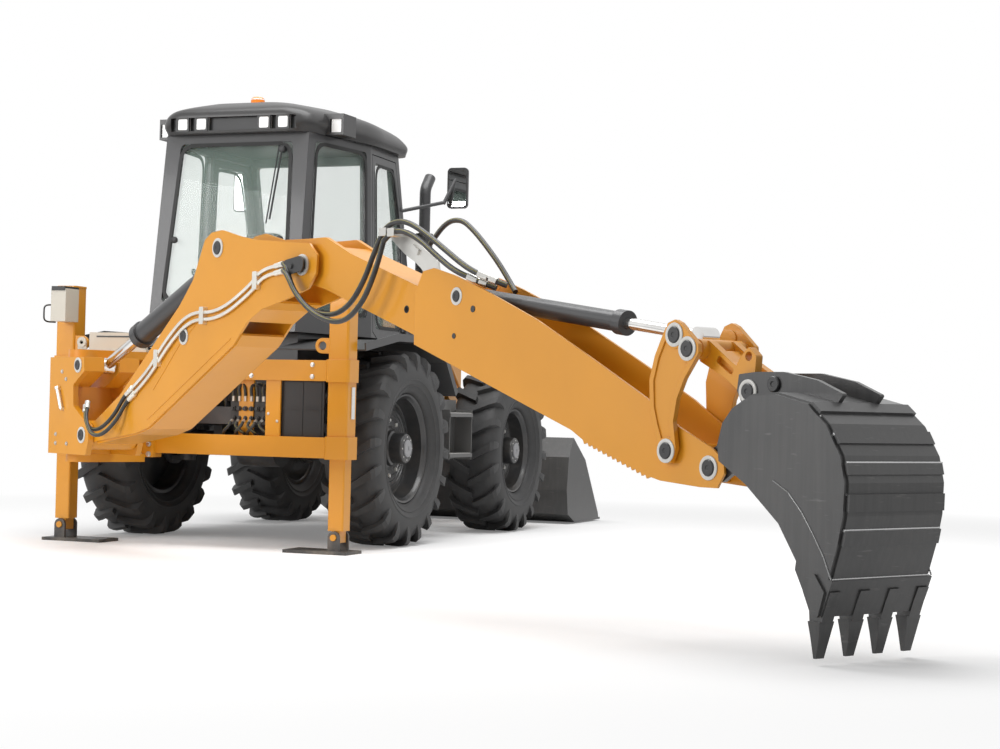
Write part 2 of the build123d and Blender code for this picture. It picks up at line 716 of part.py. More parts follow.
for hand, side in SIDES:
    low, high = (-900, -DOOR_INNER) if side > 0 else (DOOR_INNER, 900)
    with BuildPart() as door:
        add(skin(0))
        with BuildSketch(Plane.XY.offset(DOOR_LOW)):
            with BuildLine():
                Polyline(
                    *[(x, side * y) for x, y in ((0, 500), WAIST[1], WAIST[2], (1200, 500))],
                    close=True,
                )
            make_face()
        extrude(amount=WAIST_Z - DOOR_LOW)
        add(skin(45, WAIST_Z, ROOF_LOW + 1), mode=Mode.SUBTRACT)
        with BuildSketch(Plane.XY.offset(DOOR_LOW - 1)):
            with BuildLine():
                Polyline(
                    *[(x, side * y) for x, y in ((0, 400), (270, 675), (1200, 615), (1200, 400))],
                    close=True,
                )
            make_face()
        extrude(amount=WAIST_Z - DOOR_LOW + 1, mode=Mode.SUBTRACT)
        with BuildPart(mode=Mode.PRIVATE) as prism:
            slab(SIDE, low, high, door_outline(DOOR_GAP))
        add(prism.part, mode=Mode.INTERSECT)
        slab(SIDE, low, high, door_window, Mode.SUBTRACT)
        cross = side * HINGE_Y
        bar((DOOR_BACK + 70, cross, 2030), (DOOR_BACK + 70, cross + side * 60, 2030), 20)
        for hinge_z in HINGE_ZS:
            bar((DOOR_HINGE_X, cross, hinge_z), (DOOR_HINGE_X, cross, hinge_z + HINGE_TALL), HINGE_R)
            block(
                (DOOR_HINGE_X - 60, DOOR_HINGE_X), (side * (HINGE_Y - 14), side * (HINGE_Y - 2)),
                (hinge_z, hinge_z + HINGE_TALL),
            )
            block(
                (DOOR_HINGE_X - 60, DOOR_HINGE_X - 18), (side * (HINGE_Y - 50), side * (HINGE_Y - 2)),
                (hinge_z, hinge_z + HINGE_TALL),
            )
    keep(f"door_{hand}", door.part)
    with BuildPart() as pane:
        add(skin(20))
        add(skin(20 + GLASS, WAIST_Z - 1, ROOF_LOW + 1), mode=Mode.SUBTRACT)
        with BuildPart(mode=Mode.PRIVATE) as prism:
            slab(SIDE, low, high, door_window)
        add(prism.part, mode=Mode.INTERSECT)
    keep(f"door_glass_{hand}", pane.part)

# Roof: plan outlines from the eaves up, wide at the doors and narrow at both ends
ROOF_BACK = -600.0
ROOF_RINGS = (
    # rise, back x, middle x, front x, half-widths at the back, the middle and the front
    (0, ROOF_BACK, 270, 985, 560, 725, 690),
    (80, ROOF_BACK - 12, 270, 975, 585, 735, 700),
    (170, ROOF_BACK + 10, 240, 820, 510, 680, 600),
    (235, ROOF_BACK + 170, 80, 420, 300, 480, 380),
)
ROOF_CREST = ROOF_LOW + ROOF_RINGS[-1][0]
POD_X = (-340, -130)
POD_Y = 745.0
LAMP_BAND = (ROOF_LOW + 18, ROOF_LOW + 112)


def roof_ring(rise, back, middle, front, back_half, middle_half, front_half):
    """The roof's plan outline at a rise above the eaves."""
    edge = [(back, back_half), (middle, middle_half), (front, front_half)]
    with BuildSketch(Plane.XY.offset(ROOF_LOW + rise)) as section:
        with BuildLine():
            Polyline(*edge, *[(x, -y) for x, y in reversed(edge)], close=True)
        make_face()
        fillet(section.vertices(), 85)
    return section.sketch


with BuildPart() as roof:
    rings = [roof_ring(*row) for row in ROOF_RINGS]
    for lower, upper in zip(rings, rings[1:]):
        loft([lower, upper], ruled=True)
    for side in (1, -1):
        block(POD_X, (side * 560, side * POD_Y), (ROOF_LOW, ROOF_LOW + 150))
        block(
            (POD_X[0] - 1, POD_X[0] + 26), (side * 640, side * (POD_Y - 12)), LAMP_BAND,
            Mode.SUBTRACT,
        )
    block((ROOF_BACK - 60, ROOF_BACK + 40), (-500, 500), LAMP_BAND, Mode.SUBTRACT)
keep("cab_roof", roof.part)

# Lamps: four in the roof's back panel, one in each side pod, and a domed beacon on the crest
BEACON = (-200.0, 15.0)
with BuildPart() as lamps:
    for lamp_y in (-400, -250, 250, 400):
        block((ROOF_BACK + 6, ROOF_BACK + 40), (lamp_y - 44, lamp_y + 44), LAMP_BAND)
    for side in (1, -1):
        block((POD_X[0] + 6, POD_X[0] + 26), (side * 650, side * (POD_Y - 20)), LAMP_BAND)
    bar((*BEACON, ROOF_CREST), (*BEACON, ROOF_CREST + 14), 56)
    bar((*BEACON, ROOF_CREST + 14), (*BEACON, ROOF_CREST + 58), 50)
    for low, low_radius, high, high_radius in ((58, 50, 70, 42), (70, 42, 79, 22)):
        with BuildPart(mode=Mode.PRIVATE) as dome:
            for rise, radius in ((low, low_radius), (high, high_radius)):
                with BuildSketch(Plane.XY.offset(ROOF_CREST + rise)):
                    with Locations(BEACON):
                        Circle(radius)
            loft(ruled=True)
        add(dome.part)
keep("lamps", lamps.part)

# Seat: pedestal, cushions
with BuildPart() as seat_frame:
    block((120, 420), (-160, 160), (FLOOR_Z, FLOOR_Z + 330))
    block((-20, 480), (-200, 200), (FLOOR_Z + 330, FLOOR_Z + 380))
    slab(SIDE, -190, 190, outline([
        (-20, FLOOR_Z + 330), (15, FLOOR_Z + 330), (7.5, FLOOR_Z + 500), (-70, FLOOR_Z + 930),
        (-90, FLOOR_Z + 930), (-13, FLOOR_Z + 500),
    ]))
keep("seat_frame", seat_frame.part)
with BuildPart() as cushions:
    with BuildSketch(Plane.XY.offset(FLOOR_Z + 380 + FIT)):
        with Locations((290, 0)):
            RectangleRounded(440, 460, 60)
    extrude(amount=110)
    with BuildSketch(Plane(origin=(110, 0, FLOOR_Z + 500), x_dir=(0, 1, 0), z_dir=(-1, 0, -0.18))):
        with Locations((0, -290)):
            RectangleRounded(440, 560, 70)
    extrude(amount=100)
keep("seat_cushions", cushions.part)

# Controls: steering column and wheel, dash, rear console with levers
with BuildPart() as controls:
    block((960, 1130), (-300, 300), (FLOOR_Z, 1440))
    bar((1000, 0, 1400), (800, 0, 1690), 34)
    with BuildSketch(Plane(origin=(802, 0, 1687), z_dir=(-200, 0, 290))):
        Circle(190)
        Circle(168, mode=Mode.SUBTRACT)
        Rectangle(350, 26)
    extrude(amount=22)
    for side in (1, -1):
        block((-420, -180), (side * 240, side * 440), (FLOOR_Z, 1560))
        for lever_x in (-360, -300, -240):
            bar((lever_x, side * 340, 1555), (lever_x - 30, side * 330, 1760), 9)
keep("controls", controls.part)

# Mudguards: bent sheets over the rear wheels with an outer lip
GUARD = ((-850, 1368), (-300, 1455), (300, 1460), (575, 1330), (775, 1085))
GUARD_THICK = 10.0
GUARD_OUT = 1200.0
GUARD_IN = 500.0
with BuildPart() as guards:
    for side in (1, -1):
        with BuildSketch() as guard_section:
            with BuildLine():
                Polyline(*GUARD)
                offset(amount=GUARD_THICK, side=Side.LEFT)
            make_face()
        low, high = (-GUARD_OUT, -GUARD_IN) if side > 0 else (GUARD_IN, GUARD_OUT)
        slab(SIDE, low, high, guard_section.sketch)
        with BuildSketch() as lip_section:
            with BuildLine():
                Polyline(*GUARD)
                offset(amount=-55, side=Side.LEFT)
            make_face()
        lip = (-GUARD_OUT, -GUARD_OUT + 10) if side > 0 else (GUARD_OUT - 10, GUARD_OUT)
        slab(SIDE, lip[0], lip[1], lip_section.sketch)
keep("mudguards", guards.part)

# Tank and battery boxes between the wheels, with two steps each side
with BuildPart() as boxes:
    for side in (1, -1):
        block((890, 1370), (side * 520, side * 960), (600, DOOR_LOW - 90))
        for step_z in (620, 930):
            block((900, 1360), (side * 960, side * 1110), (step_z, step_z + 28))
        for plate_x in (900, 1350):
            block((plate_x, plate_x + 10), (side * 960, side * 1104), (600, 985))
        block((900, 1300), (side * (RAIL_Y + RAIL_THICK), side * 520), (RAIL_LOW + 30, RAIL_HIGH - 30))
keep("side_boxes", boxes.part)

# Exhaust stack beside the bonnet: a guard sleeve on a pipe that bends forward at its top
STACK_X = 1290.0
STACK_Y = -690.0
STACK_R = 44.0
with BuildPart() as stack:
    bar((STACK_X, STACK_Y, 1060), (STACK_X, STACK_Y, 2640), STACK_R)
    with BuildLine() as stack_line:
        FilletPolyline(
            (STACK_X, STACK_Y, 2640), (STACK_X, STACK_Y, 2710), (STACK_X + 90, STACK_Y, 2810),
            radius=110,
        )
    with BuildSketch(Plane.XY.offset(2640)):
        with Locations((STACK_X, STACK_Y)):
            Circle(STACK_R)
    sweep(path=stack_line.wire())
    bar((STACK_X, STACK_Y, 1640), (STACK_X, STACK_Y, 2360), STACK_R + 18)
    block((STACK_X - 20, STACK_X + 20), (STACK_Y, STACK_Y + 74), (1500, 1540))
keep("exhaust_stack", stack.part)

# Mirrors: rounded heads on bent arms from the front posts
MIRROR_X = 1330.0
MIRROR_Y = 945.0
with BuildPart() as mirrors:
    for side in (1, -1):
        bar((930, side * 630, 2500), (1260, side * 860, 2600), 14)
        bar((1260, side * 860, 2590), (MIRROR_X + 14, side * 930, 2800), 14)
        with BuildSketch(Plane.YZ.offset(MIRROR_X)) as mirror_back:
            with Locations((side * MIRROR_Y, 2720)):
                RectangleRounded(172, 320, 34)
        extrude(amount=24)
        with BuildSketch(Plane.YZ.offset(MIRROR_X + 24)) as mirror_front:
            with Locations((side * MIRROR_Y, 2720)):
                RectangleRounded(120, 268, 30)
        extrude(amount=14)
    add(skin(0), mode=Mode.SUBTRACT)
keep("mirrors", mirrors.part)

# Loader arms: bent box plates each side, joined by a cross tube
def band(points, widths):
    """A bent plate along a line of points, with its half-width at each."""
    upper, lower = [], []
    for number, (x, z) in enumerate(points):
        before = points[max(number - 1, 0)]
        after = points[min(number + 1, len(points) - 1)]
        length = hypot(after[0] - before[0], after[1] - before[1])
        nx, nz = -(after[1] - before[1]) / length, (after[0] - before[0]) / length
        upper.append((x + nx * widths[number], z + nz * widths[number]))
        lower.append((x - nx * widths[number], z - nz * widths[number]))
    return upper + lower[::-1]


ARM_LINE = (ARM_PIVOT, ARM_KNEE, ARM_ELBOW, BUCKET_PIN)
with BuildPart() as loader_arms:
    for side in (1, -1):
        middle = -side * (ARM_Y + ARM_THICK / 2)
        low, high = middle - ARM_THICK / 2, middle + ARM_THICK / 2
        slab(SIDE, low, high, outline(band(ARM_LINE, (80, 100, 95, 62)), 40))
        cross_pin(SIDE, ARM_PIVOT, 84, low, high)
        cross_pin(SIDE, BUCKET_PIN, 66, low, high)
        cross_pin(SIDE, ARM_PIVOT, 32 + PIN_GAP, low - 1, high + 1, Mode.SUBTRACT)
        cross_pin(SIDE, BUCKET_PIN, 26 + PIN_GAP, low - 1, high + 1, Mode.SUBTRACT)
        for lug_low in (low, high - LUG_PLATE):
            lug = outline([
                (LIFT_LUG[0] - 90, 1290), (LIFT_LUG[0] + 110, 1200),
                (LIFT_LUG[0] + 44, LIFT_LUG[1] - 40), (LIFT_LUG[0] - 44, LIFT_LUG[1] - 40),
            ])
            slab(SIDE, lug_low, lug_low + LUG_PLATE, lug)
            ear = outline([
                (TILT_BASE[0] - 40, TILT_BASE[1] + 36), (TILT_BASE[0] + 36, TILT_BASE[1] + 36),
                (TILT_BASE[0] + 60, 1330), (TILT_BASE[0] - 120, 1390),
            ])
            slab(SIDE, lug_low, lug_low + LUG_PLATE, ear)
        cross_pin(SIDE, TILT_BASE, LIFT_PIN_R, low, high)
    bar(
        (ARM_ELBOW[0], -ARM_Y - 10, ARM_ELBOW[1]), (ARM_ELBOW[0], ARM_Y + 10, ARM_ELBOW[1]), 70
    )
keep("loader_arms", loader_arms.part)

# Loader bucket: curved back and floor, side plates, cutting edge, ears
with BuildPart() as loader_bucket:
    floor_z = LOADER_CLEAR
    shell = outline([
        (LOADER_FRONT, floor_z), (LOADER_FRONT, floor_z + 18), (3640, floor_z + 26),
        (3470, 110), (3420, 300), (3450, 560), (3560, LOADER_HEIGHT - 20),
        (3552, LOADER_HEIGHT), (3436, 590), (3400, 300), (3440, 90), (3640, floor_z),
    ])
    slab(SIDE, -LOADER_HALF, LOADER_HALF, shell)
    cheek = outline([
        (LOADER_FRONT - 40, floor_z), (LOADER_FRONT - 60, 70), (3900, 560), (3560, LOADER_HEIGHT),
        (3436, 590), (3400, 300), (3440, 90), (3640, floor_z),
    ])
    for side in (1, -1):
        low = LOADER_HALF - 20 if side > 0 else -LOADER_HALF
        slab(SIDE, low, low + 20, cheek)
        middle = side * (ARM_Y + ARM_THICK / 2)
        for place in (-ARM_THICK / 2 - RUN - 20, ARM_THICK / 2 + RUN):
            ear = outline([
                (BUCKET_PIN[0] - 50, BUCKET_PIN[1] - 60), (3430, 120), (3412, 300), (3450, 600),
                (3470, 650), (TILT_PIN[0] - 50, TILT_PIN[1] + 50),
            ])
            slab(SIDE, middle + place, middle + place + 20, ear)
        reach = ARM_THICK / 2 + RUN + 10
        cross_pin(SIDE, BUCKET_PIN, 26, middle - reach, middle + reach)
keep("loader_bucket", loader_bucket.part)


def mirrored_pair(base, eye, bore, rod, barrel_end, rod_start, name, half):
    """Two like cylinders, one above each arm, as a barrels node and a rods node."""
    total = hypot(eye[0] - base[0], eye[1] - base[1])

    def spot(distance, y):
        place = along(base, eye, distance)
        return (place[0], y, place[1])

    with BuildPart() as barrels:
        for side in (1, -1):
            y = side * (ARM_Y + ARM_THICK / 2)
            bar(spot(bore, y), spot(barrel_end - 40, y), bore)
            bar(spot(barrel_end - 40, y), spot(barrel_end, y), bore + 8)
            cross_pin(SIDE, base, bore + 4, -y - half, -y + half)
            cross_pin(SIDE, base, LIFT_PIN_R + PIN_GAP, -y - half - 1, -y + half + 1, Mode.SUBTRACT)
            bar(spot(bore + 22, y), spot(barrel_end + 1, y), rod + FIT, Mode.SUBTRACT)
    with BuildPart() as rods:
        for side in (1, -1):
            y = side * (ARM_Y + ARM_THICK / 2)
            bar(spot(rod_start, y), spot(total - rod, y), rod)
            cross_pin(SIDE, eye, rod * 1.5, -y - half, -y + half)
    keep(name + "_barrels", barrels.part)
    keep(name + "_rods", rods.part)


mirrored_pair(LIFT_BASE, LIFT_LUG, 34, 20, 640, 64, "lift", 24)
mirrored_pair(TILT_BASE, TILT_PIN, 25, 15, 1000, 240, "tilt", 22)

# Carriage: plate behind the beams with hooks over and under them, and two kingpost lugs
CARRIAGE_HALF = 320.0
CARRIAGE_BACK = BEAM_BACK - SLIDE_GAP - 36
with BuildPart() as carriage:
    face = BEAM_BACK - SLIDE_GAP
    front = BEAM_BACK + BEAM_DEPTH + SLIDE_GAP
    top = UPPER_BEAM_LOW + BEAM_HEIGHT + SLIDE_GAP
    low = LOWER_BEAM_LOW - SLIDE_GAP
    ys = (POST_Y - CARRIAGE_HALF, POST_Y + CARRIAGE_HALF)
    block((CARRIAGE_BACK, face), ys, (low - 30, top + 32))
    block((CARRIAGE_BACK, front + 24), ys, (top, top + 32))
    block((front, front + 24), ys, (top - 34, top + 32))
    block((CARRIAGE_BACK, front + 24), ys, (low - 30, low))
    block((front, front + 24), ys, (low - 30, low + 34))
    for lug_low in (top - 20, low - 64):
        with BuildSketch(Plane.XY.offset(lug_low)):
            with BuildLine():
                Polyline(
                    (CARRIAGE_BACK, POST_Y - 260), (CARRIAGE_BACK, POST_Y + 260),
                    (POST_X - 30, POST_Y + 100), (POST_X - 30, POST_Y - 100), close=True,
                )
            make_face()
            with Locations((POST_X, POST_Y)):
                Circle(104)
        extrude(amount=56)
        with BuildSketch(Plane.XY.offset(lug_low - 1)):
            with Locations((POST_X, POST_Y)):
                Circle(50 + PIN_GAP)
        extrude(amount=58, mode=Mode.SUBTRACT)
keep("carriage", carriage.part)

# Swing tower: kingpost pins, cheeks round the boom cylinder's eye and ears for the boom's foot
TOWER_TOP = UPPER_BEAM_LOW + BEAM_HEIGHT + SLIDE_GAP - 20 - SLIDE_GAP
TOWER_LOW = LOWER_BEAM_LOW - SLIDE_GAP - 64 + 56 + SLIDE_GAP
with BuildPart() as tower_part:
    cheek = outline([
        (-90, TOWER_LOW), (FOOT[0] + 60, TOWER_LOW), (FOOT[0] + 96, FOOT[1] - 30),
        (FOOT[0] + 90, FOOT[1] + 60), (260, FOOT[1] + 190), (250, ROD_PIN[1] - 130),
        (ROD_PIN[0] + 84, ROD_PIN[1] - 40), (ROD_PIN[0] + 78, TOWER_TOP), (-90, TOWER_TOP),
    ], 20)
    for near, far in ((BOOM_HALF + RUN, TOWER_HALF), (-TOWER_HALF, -BOOM_HALF - RUN)):
        slab(ARM, near, far, cheek)
    web = outline([(-90, TOWER_LOW), (95, TOWER_LOW), (95, 1080), (-90, 1080)])
    slab(ARM, -TOWER_HALF, TOWER_HALF, web)
    for near, far in ((56, TOWER_HALF), (-TOWER_HALF, -56)):
        upper = outline([
            (-90, 1080), (200, 1080), (ROD_PIN[0] + 84, ROD_PIN[1] - 40),
            (ROD_PIN[0] + 78, TOWER_TOP), (-90, TOWER_TOP),
        ])
        slab(ARM, near, far, upper)
    cap = outline([(-90, TOWER_TOP - 24), (95, TOWER_TOP - 24), (95, TOWER_TOP), (-90, TOWER_TOP)])
    slab(ARM, -60, 60, cap)
    cross_pin(ARM, FOOT, 34, -TOWER_HALF - 6, TOWER_HALF + 6)
    for side in (1, -1):
        cross_pin(ARM, ROD_PIN, 30, min(side * 60, side * (TOWER_HALF + 8)),
                  max(side * 60, side * (TOWER_HALF + 8)))
    bar((POST_X, POST_Y, TOWER_TOP - 10), (POST_X, POST_Y, TOWER_TOP + 52), 50)
    bar((POST_X, POST_Y, TOWER_LOW + 10), (POST_X, POST_Y, TOWER_LOW - 52), 50)
keep("swing_tower", tower_part.part)

# Boom: two side plates with a gooseneck, closed below and partly above
BOOM_OUTLINE = [
    (FOOT[0] - 60, FOOT[1] - 60), (1030, 790), (1190, 830), (2177, 1337), (2330, 1470),
    (2480, 1540), (2780, 1600), (2960, 1645), (3036, 1730), (3040, 1830), (2960, 1898),
    (2658, 1925), (2390, 1948), (2224, 1977), (2019, 2025), (1900, 2015), (1825, 1975),
    (1696, 1738), (1547, 1590), (814, 1031), (470, 850), (FOOT[0] - 60, FOOT[1] + 60),
]
with BuildPart() as boom:
    bores = ((FOOT, 34 + PIN_GAP), (ELBOW, 40 + PIN_GAP))
    side_plate = outline(BOOM_OUTLINE, 10, bores)
    for near in (-BOOM_HALF, BOOM_HALF - BOOM_PLATE):
        slab(ARM, near, near + BOOM_PLATE, side_plate)
    inner = BOOM_HALF - BOOM_PLATE
    belly = [(500, 716), (1030, 790), (1190, 830), (2177, 1337), (2250, 1400)]
    slab(ARM, -inner, inner, outline(band(belly, (8, 8, 8, 8, 8)), 0))
    throat = [(2330, 1478), (2480, 1548), (2640, 1580)]
    slab(ARM, -inner, inner, outline(band(throat, (7, 7, 7)), 0))
    back = [(500, 856), (814, 1024), (1430, 1482)]
    slab(ARM, -inner, inner, outline(band(back, (7, 7, 7)), 0))
    for place, radius in ((BOOM_PIN, BOOM_PIN_R), (CROWD_BASE, CROWD_PIN_R)):
        cross_pin(ARM, place, radius, -BOOM_HALF - 8, BOOM_HALF + 8)
    cross_pin(ARM, FOOT, 96, -BOOM_HALF, BOOM_HALF)
    cross_pin(ARM, FOOT, 34 + PIN_GAP, -BOOM_HALF - 1, BOOM_HALF + 1, Mode.SUBTRACT)
keep("boom", boom.part)

# Inner dipper: ears and tail round the elbow, then a square tube that slides in the outer one
FALL = radians(SLIDE_FALL)
TUBE_AT = (3925.0, 1498.0)
TUBE_START = 3130.0
TUBE_END = 4760.0


def tube_line(s, up=0.0):
    """A point of the dipper tube's line at s, raised across the tube by up."""
    z = TUBE_AT[1] - (s - TUBE_AT[0]) * tan(FALL)
    return (s + up * sin(FALL), z + up * cos(FALL))


high = DIPPER_HIGH / 2
TUBE_SLEEVE = [
    tube_line(TUBE_START, high), tube_line(TUBE_END, high),
    tube_line(TUBE_END, -high), tube_line(TUBE_START, -high),
]
with BuildPart() as dipper:
    cheek = outline([
        tube_line(TUBE_START + 140, high), tube_line(TUBE_START + 140, -high),
        tube_line(3110, -high), (2930, 1672), (2800, 1700), (TAIL_PIN[0] - 20, TAIL_PIN[1] - 74),
        (TAIL_PIN[0] - 70, TAIL_PIN[1] + 10), (TAIL_PIN[0] - 20, TAIL_PIN[1] + 70), (2900, 1930),
        (3060, 1930),
    ], 20, ((ELBOW, 40 + PIN_GAP),))
    for near in (-DIPPER_HALF, DIPPER_HALF - 26):
        slab(ARM, near, near + 26, cheek)
    slab(ARM, -DIPPER_HALF, DIPPER_HALF, outline(TUBE_SLEEVE))
    inner_high = high - DIPPER_WALL
    slab(ARM, -DIPPER_HALF + DIPPER_WALL, DIPPER_HALF - DIPPER_WALL, outline([
        tube_line(TUBE_START + 120, inner_high), tube_line(TUBE_END + 1, inner_high),
        tube_line(TUBE_END + 1, -inner_high), tube_line(TUBE_START + 120, -inner_high),
    ]), Mode.SUBTRACT)
    cross_pin(ARM, ELBOW, 110, -DIPPER_HALF, DIPPER_HALF)
    cross_pin(ARM, ELBOW, 40, -BOOM_HALF - 12, BOOM_HALF + 12)
    for near, far in ((60, DIPPER_HALF + 12), (-DIPPER_HALF - 12, -60)):
        cross_pin(ARM, TAIL_PIN, 30, near, far)
keep("dipper", dipper.part)

# Outer dipper: side plates with a serrated lower edge, floor and roof plates round the tube
EDGE_TEETH = 14
EDGE_FROM = (5290.0, 862.0)
EDGE_TO = (5750.0, 708.0)
serration = []
for number in range(EDGE_TEETH):
    base = along(EDGE_FROM, EDGE_TO, hypot(460, 154) * (number + 0.5) / EDGE_TEETH)
    tip = along(EDGE_FROM, EDGE_TO, hypot(460, 154) * (number + 1) / EDGE_TEETH)
    serration += [(base[0] - 6, base[1] - 14), tip]
OUTER_OUTLINE = [
    (3953, 1322), (5206, 906), EDGE_FROM, *serration, (5815, 694), (6066, 676), (6170, 676),
    (6212, 740), (6206, 800), (6130, 850), (5930, 935), (5801, 1010), (5719, 1060), (5342, 1242),
    (4944, 1428), (4653, 1540), (4464, 1610), (4288, 1668), (4109, 1713), (4019, 1700),
    (3953, 1590),
]
with BuildPart() as outer:
    bores = ((LEVER_PIN, 34 + PIN_GAP), (NOSE_PIN, 34 + PIN_GAP))
    side_plate = outline(OUTER_OUTLINE, 0, bores)
    for near in (-OUTER_HALF, OUTER_HALF - OUTER_PLATE):
        slab(ARM, near, near + OUTER_PLATE, side_plate)
    inner = OUTER_HALF - OUTER_PLATE
    floor_up = -high - SLIDE_GAP - 8
    roof_up = high + SLIDE_GAP + 8
    for up, start, end in ((floor_up, 3990, 5200), (roof_up, 4050, 4215)):
        strip = band([tube_line(start, up), tube_line(end, up)], (8, 8))
        slab(ARM, -inner, inner, outline(strip))
    nose_floor = band([(5830, 708), (5960, 700)], (8, 8))
    slab(ARM, -inner, inner, outline(nose_floor))
    cross_pin(ARM, CURL_BASE, CURL_PIN_R, -OUTER_HALF - 4, OUTER_HALF + 4)
keep("dipper_extension", outer.part)

# Rocker levers: two curved plates on one pin
with BuildPart() as levers:
    curve = outline([
        (5849, 775), (5915, 775), (5945, 840), (5925, 960), (5945, 1060), (5990, 1150),
        (6040, 1215), (6075, 1262), (6072, 1300), (6030, 1336), (5960, 1395), (5925, 1410),
        (5880, 1395), (5852, 1351), (5800, 1250), (5768, 1142), (5775, 1020), (5800, 940),
        (5825, 880), (5822, 820),
    ], 12)
    with BuildSketch() as hollow:
        offset(curve, amount=-26)
        for place in (LEVER_PIN, LINK_PIN, ROCK_PIN):
            with Locations(place):
                Circle(62, mode=Mode.SUBTRACT)
    for side in (1, -1):
        near = LEVER_NEAR if side > 0 else -LEVER_NEAR - LEVER_THICK
        face = side * (LEVER_NEAR + LEVER_THICK)
        slab(ARM, near, near + LEVER_THICK, curve)
        slab(ARM, face - 7, face + 7, hollow.sketch, Mode.SUBTRACT)
        for place, radius in ((LINK_PIN, 34), (ROCK_PIN, 34)):
            cross_pin(ARM, place, radius, near - 4, near + LEVER_THICK + 6)
    cross_pin(ARM, LEVER_PIN, 34, -LEVER_NEAR - LEVER_THICK - 6, LEVER_NEAR + LEVER_THICK + 6)
keep("rocker_levers", levers.part)

# Bucket link: two cast sides and a web, with a lifting eye
LINK_HALF = 96.0
with BuildPart() as link:
    body = outline(
        band([LINK_PIN, (6163, 1190), EAR_PIN], (54, 40, 50)), 18, ((EAR_PIN, 32 + PIN_GAP),)
    )
    for near in (-LINK_HALF, LINK_HALF - 40):
        slab(ARM, near, near + 40, body)
    web = outline(band([(6060, 1250), (6230, 1148)], (30, 30)))
    slab(ARM, -LINK_HALF, LINK_HALF, web)
    window = outline(band([(6098, 1240), (6192, 1178)], (17, 14)), 10)
    slab(ARM, LINK_HALF - 24, LINK_HALF + 1, window, Mode.SUBTRACT)
    slab(ARM, -LINK_HALF - 1, 24 - LINK_HALF, window, Mode.SUBTRACT)
    cross_pin(ARM, LINK_PIN, 46, -LINK_HALF - 40, LINK_HALF + 40)
    eye = outline(
        [(6200, 1190), (6320, 1130), (6330, 1250), (6285, 1290), (6240, 1250)], 12,
        (((6285, 1248), 20),)
    )
    slab(ARM, LINK_HALF - 40, LINK_HALF, eye)
keep("bucket_link", link.part)

# Hoe bucket: side plates, rolled back plate, ears, wear strips, lip and teeth
BACK_LINE = [
    (6345, 960), (6400, 1022), (6500, 1075), (6640, 1083), (6815, 1046), (6918, 963), (6995, 841),
    (7020, 735), (7015, 605), (6990, 489), (6940, 330), (6893, 205),
]
MOUTH_LINE = [(6862, 208), (6769, 377), (6774, 412), (6673, 557), (6482, 710), (6327, 800), (6318, 870)]
WEAR_STRIPS = (
    # where each strip starts and ends on the back plate's line
    ((6823, 1040), (6868, 1004)),
    ((6936, 934), (6966, 884)),
    ((7001, 816), (7013, 765)),
    ((7018, 692), (7016, 622)),
    ((7003, 548), (6990, 489)),
)
TOOTH_ROOT = 178.0
TOOTH_TIP = 28.0


def outer_band(points, inner, outer):
    """A strip outside a line of points, between two distances from it."""
    far = band(points, [outer] * len(points))[:len(points)]
    near = band(points, [inner] * len(points))[:len(points)]
    return far + near[::-1]


def tooth_section(across, w, half, z):
    """A level section of a tooth between two places along the arm."""
    with BuildSketch(Plane(origin=arm_point((0, z)), x_dir=ARM.x_dir, z_dir=(0, 0, 1))) as section:
        with Locations(((across[0] + across[1]) / 2, -w)):
            Rectangle(across[1] - across[0], 2 * half)
    return section.sketch


with BuildPart() as hoe_bucket:
    cheek = outline(BACK_LINE + MOUTH_LINE)
    for near in (-BUCKET_HALF, BUCKET_HALF - 18):
        slab(ARM, near, near + 18, cheek)
    inner = BUCKET_HALF - 18
    rolled = outline(band(BACK_LINE, [9] * len(BACK_LINE)))
    slab(ARM, -inner, inner, rolled)
    lip = outline([(6930, 330), (6950, 322), (6893, 196), (6862, 200)])
    slab(ARM, -BUCKET_HALF, BUCKET_HALF, lip)
    for ends in WEAR_STRIPS:
        slab(ARM, 14 - BUCKET_HALF, BUCKET_HALF - 14, outline(outer_band(ends, 4, 19)))
    slab(ARM, -BUCKET_HALF, BUCKET_HALF, outline(outer_band([(6948, 352), (6893, 205)], 0, 20)))
    cutter = outline([(6866, 208), (6905, 200), (6935, 300), (6880, 372), (6822, 300)], 6)
    for near in (BUCKET_HALF, -BUCKET_HALF - 12):
        slab(ARM, near, near + 12, cutter)
    ear = outline([
        (NOSE_PIN[0] - 66, NOSE_PIN[1] + 6), (NOSE_PIN[0] - 30, NOSE_PIN[1] - 60),
        (NOSE_PIN[0] + 60, NOSE_PIN[1] - 60), (6320, 800), (6350, 960), (6500, 1075), (6640, 1083),
        (6815, 1046), (6850, 1090), (6707, 1146), (6518, 1180), (6365, 1180), (6262, 1170),
        (6252, 1100), (6290, 1030), (6240, 920), (NOSE_PIN[0] - 40, NOSE_PIN[1] + 62),
    ], 8, ((NOSE_PIN, 34 - 2),))
    for near in (EAR_NEAR, -EAR_NEAR - EAR_THICK):
        slab(ARM, near, near + EAR_THICK, ear)
    cross_pin(ARM, NOSE_PIN, 34, -OUTER_HALF - 6, OUTER_HALF + 6)
    cross_pin(ARM, EAR_PIN, 32, -EAR_NEAR - EAR_THICK - 8, EAR_NEAR + EAR_THICK + 8)
    adapter = outline([
        (6958, 300), (6932, 238), (6908, 168), (6848, 168), (6844, 216), (6880, 262),
    ])
    for w in TOOTH_W:
        slab(ARM, w - 34, w + 34, adapter)
        loft([
            tooth_section((6846, 6910), w, 44, TOOTH_ROOT), tooth_section((6852, 6898), w, 33, 116),
            tooth_section((6862, 6876), w, 24, TOOTH_TIP),
        ], ruled=True)
keep("hoe_bucket", hoe_bucket.part)

